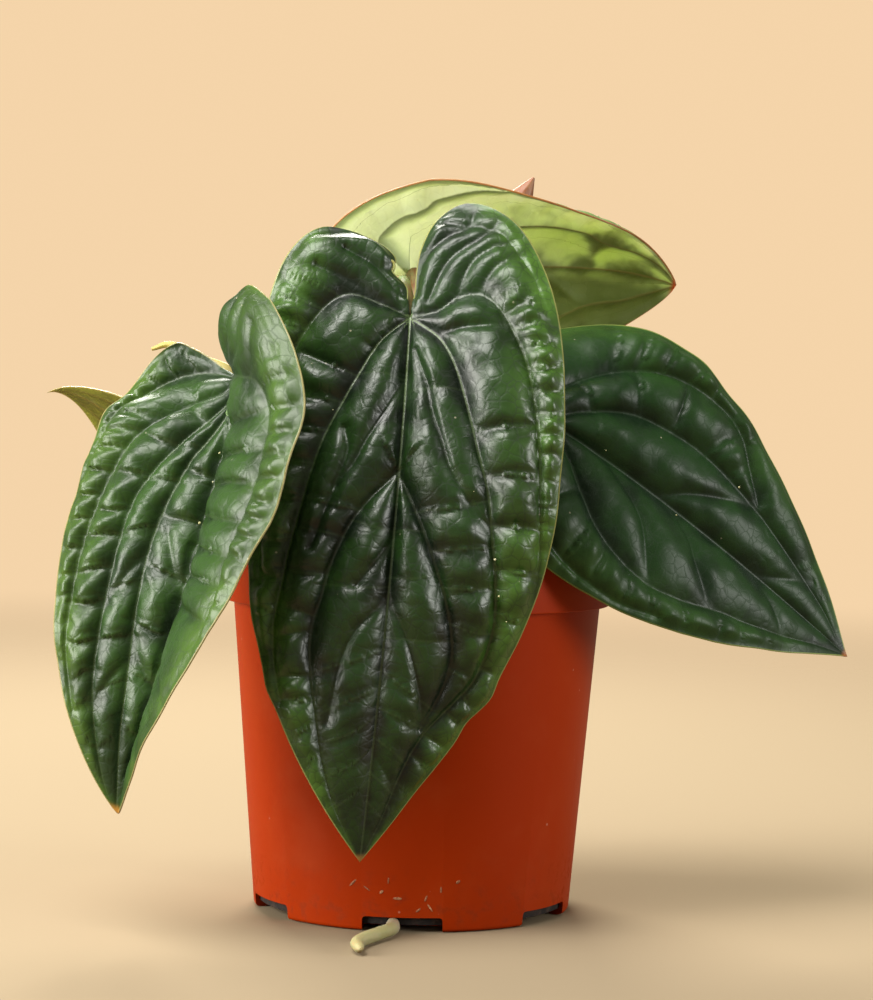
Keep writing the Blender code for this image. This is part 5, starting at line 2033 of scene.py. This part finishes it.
@dataclass
class Studio:
    """The floor, the soft lights, the plain backdrop and the camera."""

    backdrop: Colour = (0.91, 0.66, 0.40)
    floor: Colour = (0.31, 0.245, 0.16)
    floor_glow: Colour = (0.16, 0.11, 0.07)      # the floor as the plant and the pot see it
    room: Colour = (1.0, 0.86, 0.70)
    room_power: float = 0.22
    floor_radius: float = 3.0
    fade_from: float = 0.35
    fade_to: float = 1.5
    camera_place: Point = (0.0, -0.850, 0.1542)
    yaw: float = 0.369
    pitch: float = 1.846
    roll: float = 1.149
    lens: float = 98.0

    def world(self) -> None:
        """Show the plain backdrop to the camera, and keep the room that lights the plant dim."""
        world = bpy.data.worlds.new("studio")
        world.use_nodes = True
        shade = Shade(world.node_tree)
        background = world.node_tree.nodes["Background"]
        seen = shade.add("ShaderNodeLightPath").outputs["Is Camera Ray"]
        shade.put(background.inputs["Color"], shade.blend(seen, self.room, self.backdrop))
        shade.put(background.inputs["Strength"], shade.ease(seen, 0.0, 1.0, self.room_power))
        bpy.context.scene.world = world

    def ground(self) -> None:
        """Lay the pale floor, which fades into the backdrop far from the pot."""
        bm = bmesh.new()
        bmesh.ops.create_circle(bm, cap_ends=True, segments=96, radius=self.floor_radius)
        material, shade, shader = new_material("pale_floor")
        place = shade.place()
        seen = shade.add("ShaderNodeLightPath").outputs["Is Camera Ray"]
        shade.put(shader.inputs["Base Color"], shade.blend(seen, self.floor_glow, self.floor))
        shader.inputs["Roughness"].default_value = 0.8
        shader.inputs["Specular IOR Level"].default_value = 0.0
        distance = shade.add("ShaderNodeVectorMath", {0: place}, operation="LENGTH").outputs["Value"]
        clear = shade.add("ShaderNodeBsdfTransparent").outputs[0]
        fade = shade.ease(distance, self.fade_from, self.fade_to)
        mixed = shade.add("ShaderNodeMixShader", {0: fade, 1: shader.outputs[0], 2: clear})
        output = material.node_tree.nodes["Material Output"]
        shade.put(output.inputs["Surface"], mixed.outputs[0])
        floor = object_from(bm, "floor", [material])

    def light(self, name: str, place: Point, target: Point, size: float, power: float,
              colour: Colour) -> None:
        """Hang one square soft light.

        Args:
            name: The light's name.
            place: Where it hangs.
            target: The point that it faces.
            size: Its side.
            power: Its power in watts.
            colour: Its colour.
        """
        data = bpy.data.lights.new(name, "AREA")
        data.shape = "SQUARE"
        data.size = size
        data.energy = power
        data.color = colour
        lamp = bpy.data.objects.new(name, data)
        lamp.location = place
        way = Vector(target) - Vector(place)
        lamp.rotation_euler = way.to_track_quat("-Z", "Y").to_euler()
        lamp.visible_camera = False
        bpy.context.scene.collection.objects.link(lamp)

    def camera(self) -> None:
        """Set the camera where the photograph was taken from."""
        yaw, pitch, roll = (math.radians(a) for a in (self.yaw, self.pitch, self.roll))
        ahead = Vector((math.sin(yaw) * math.cos(pitch), math.cos(yaw) * math.cos(pitch), -math.sin(pitch)))
        right = ahead.cross(Vector((0, 0, 1))).normalized()
        up = right.cross(ahead)
        turned_right = math.cos(roll) * right + math.sin(roll) * up
        turned_up = math.cos(roll) * up - math.sin(roll) * right
        data = bpy.data.cameras.new("camera")
        data.lens = self.lens
        data.sensor_width = 36.0
        data.clip_start = 0.01
        camera = bpy.data.objects.new("camera", data)
        turn = Matrix((turned_right, turned_up, -ahead)).transposed().to_4x4()
        camera.matrix_world = Matrix.Translation(self.camera_place) @ turn
        bpy.context.scene.collection.objects.link(camera)
        bpy.context.scene.camera = camera

    def build(self) -> None:
        """Set up the whole studio."""
        bpy.context.scene.view_settings.view_transform = "Standard"
        self.world()
        self.ground()
        self.light("high_softbox", (-0.40, -0.55, 1.20), (0.0, 0.0, 0.14), 0.75, 23.0, (1.0, 0.98, 0.94))
        self.light("left_window", (-1.20, -0.45, 0.45), (0.0, 0.0, 0.10), 0.85, 30.0, (1.0, 0.97, 0.92))
        self.light("right_window", (1.20, -0.45, 0.35), (0.0, 0.0, 0.10), 0.5, 9.0, (1.0, 0.99, 0.96))
        self.light("back_glow", (-0.15, 0.80, 0.85), (0.0, 0.03, 0.19), 0.5, 20.0, (1.0, 0.97, 0.90))
        self.camera()


def main() -> None:
    """Build every piece around the frame."""
    logging.basicConfig(level=logging.INFO, format="%(message)s")
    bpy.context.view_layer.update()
    plant = (CROWN, ROOT, *STALKS, *BLADES, *FURLED, CURLED_EDGE, *SPECKS)
    for part in (Studio(), Pot(), FLECKS, PottingMix(), *plant):
        part.build()


if __name__ == "__main__":
    main()
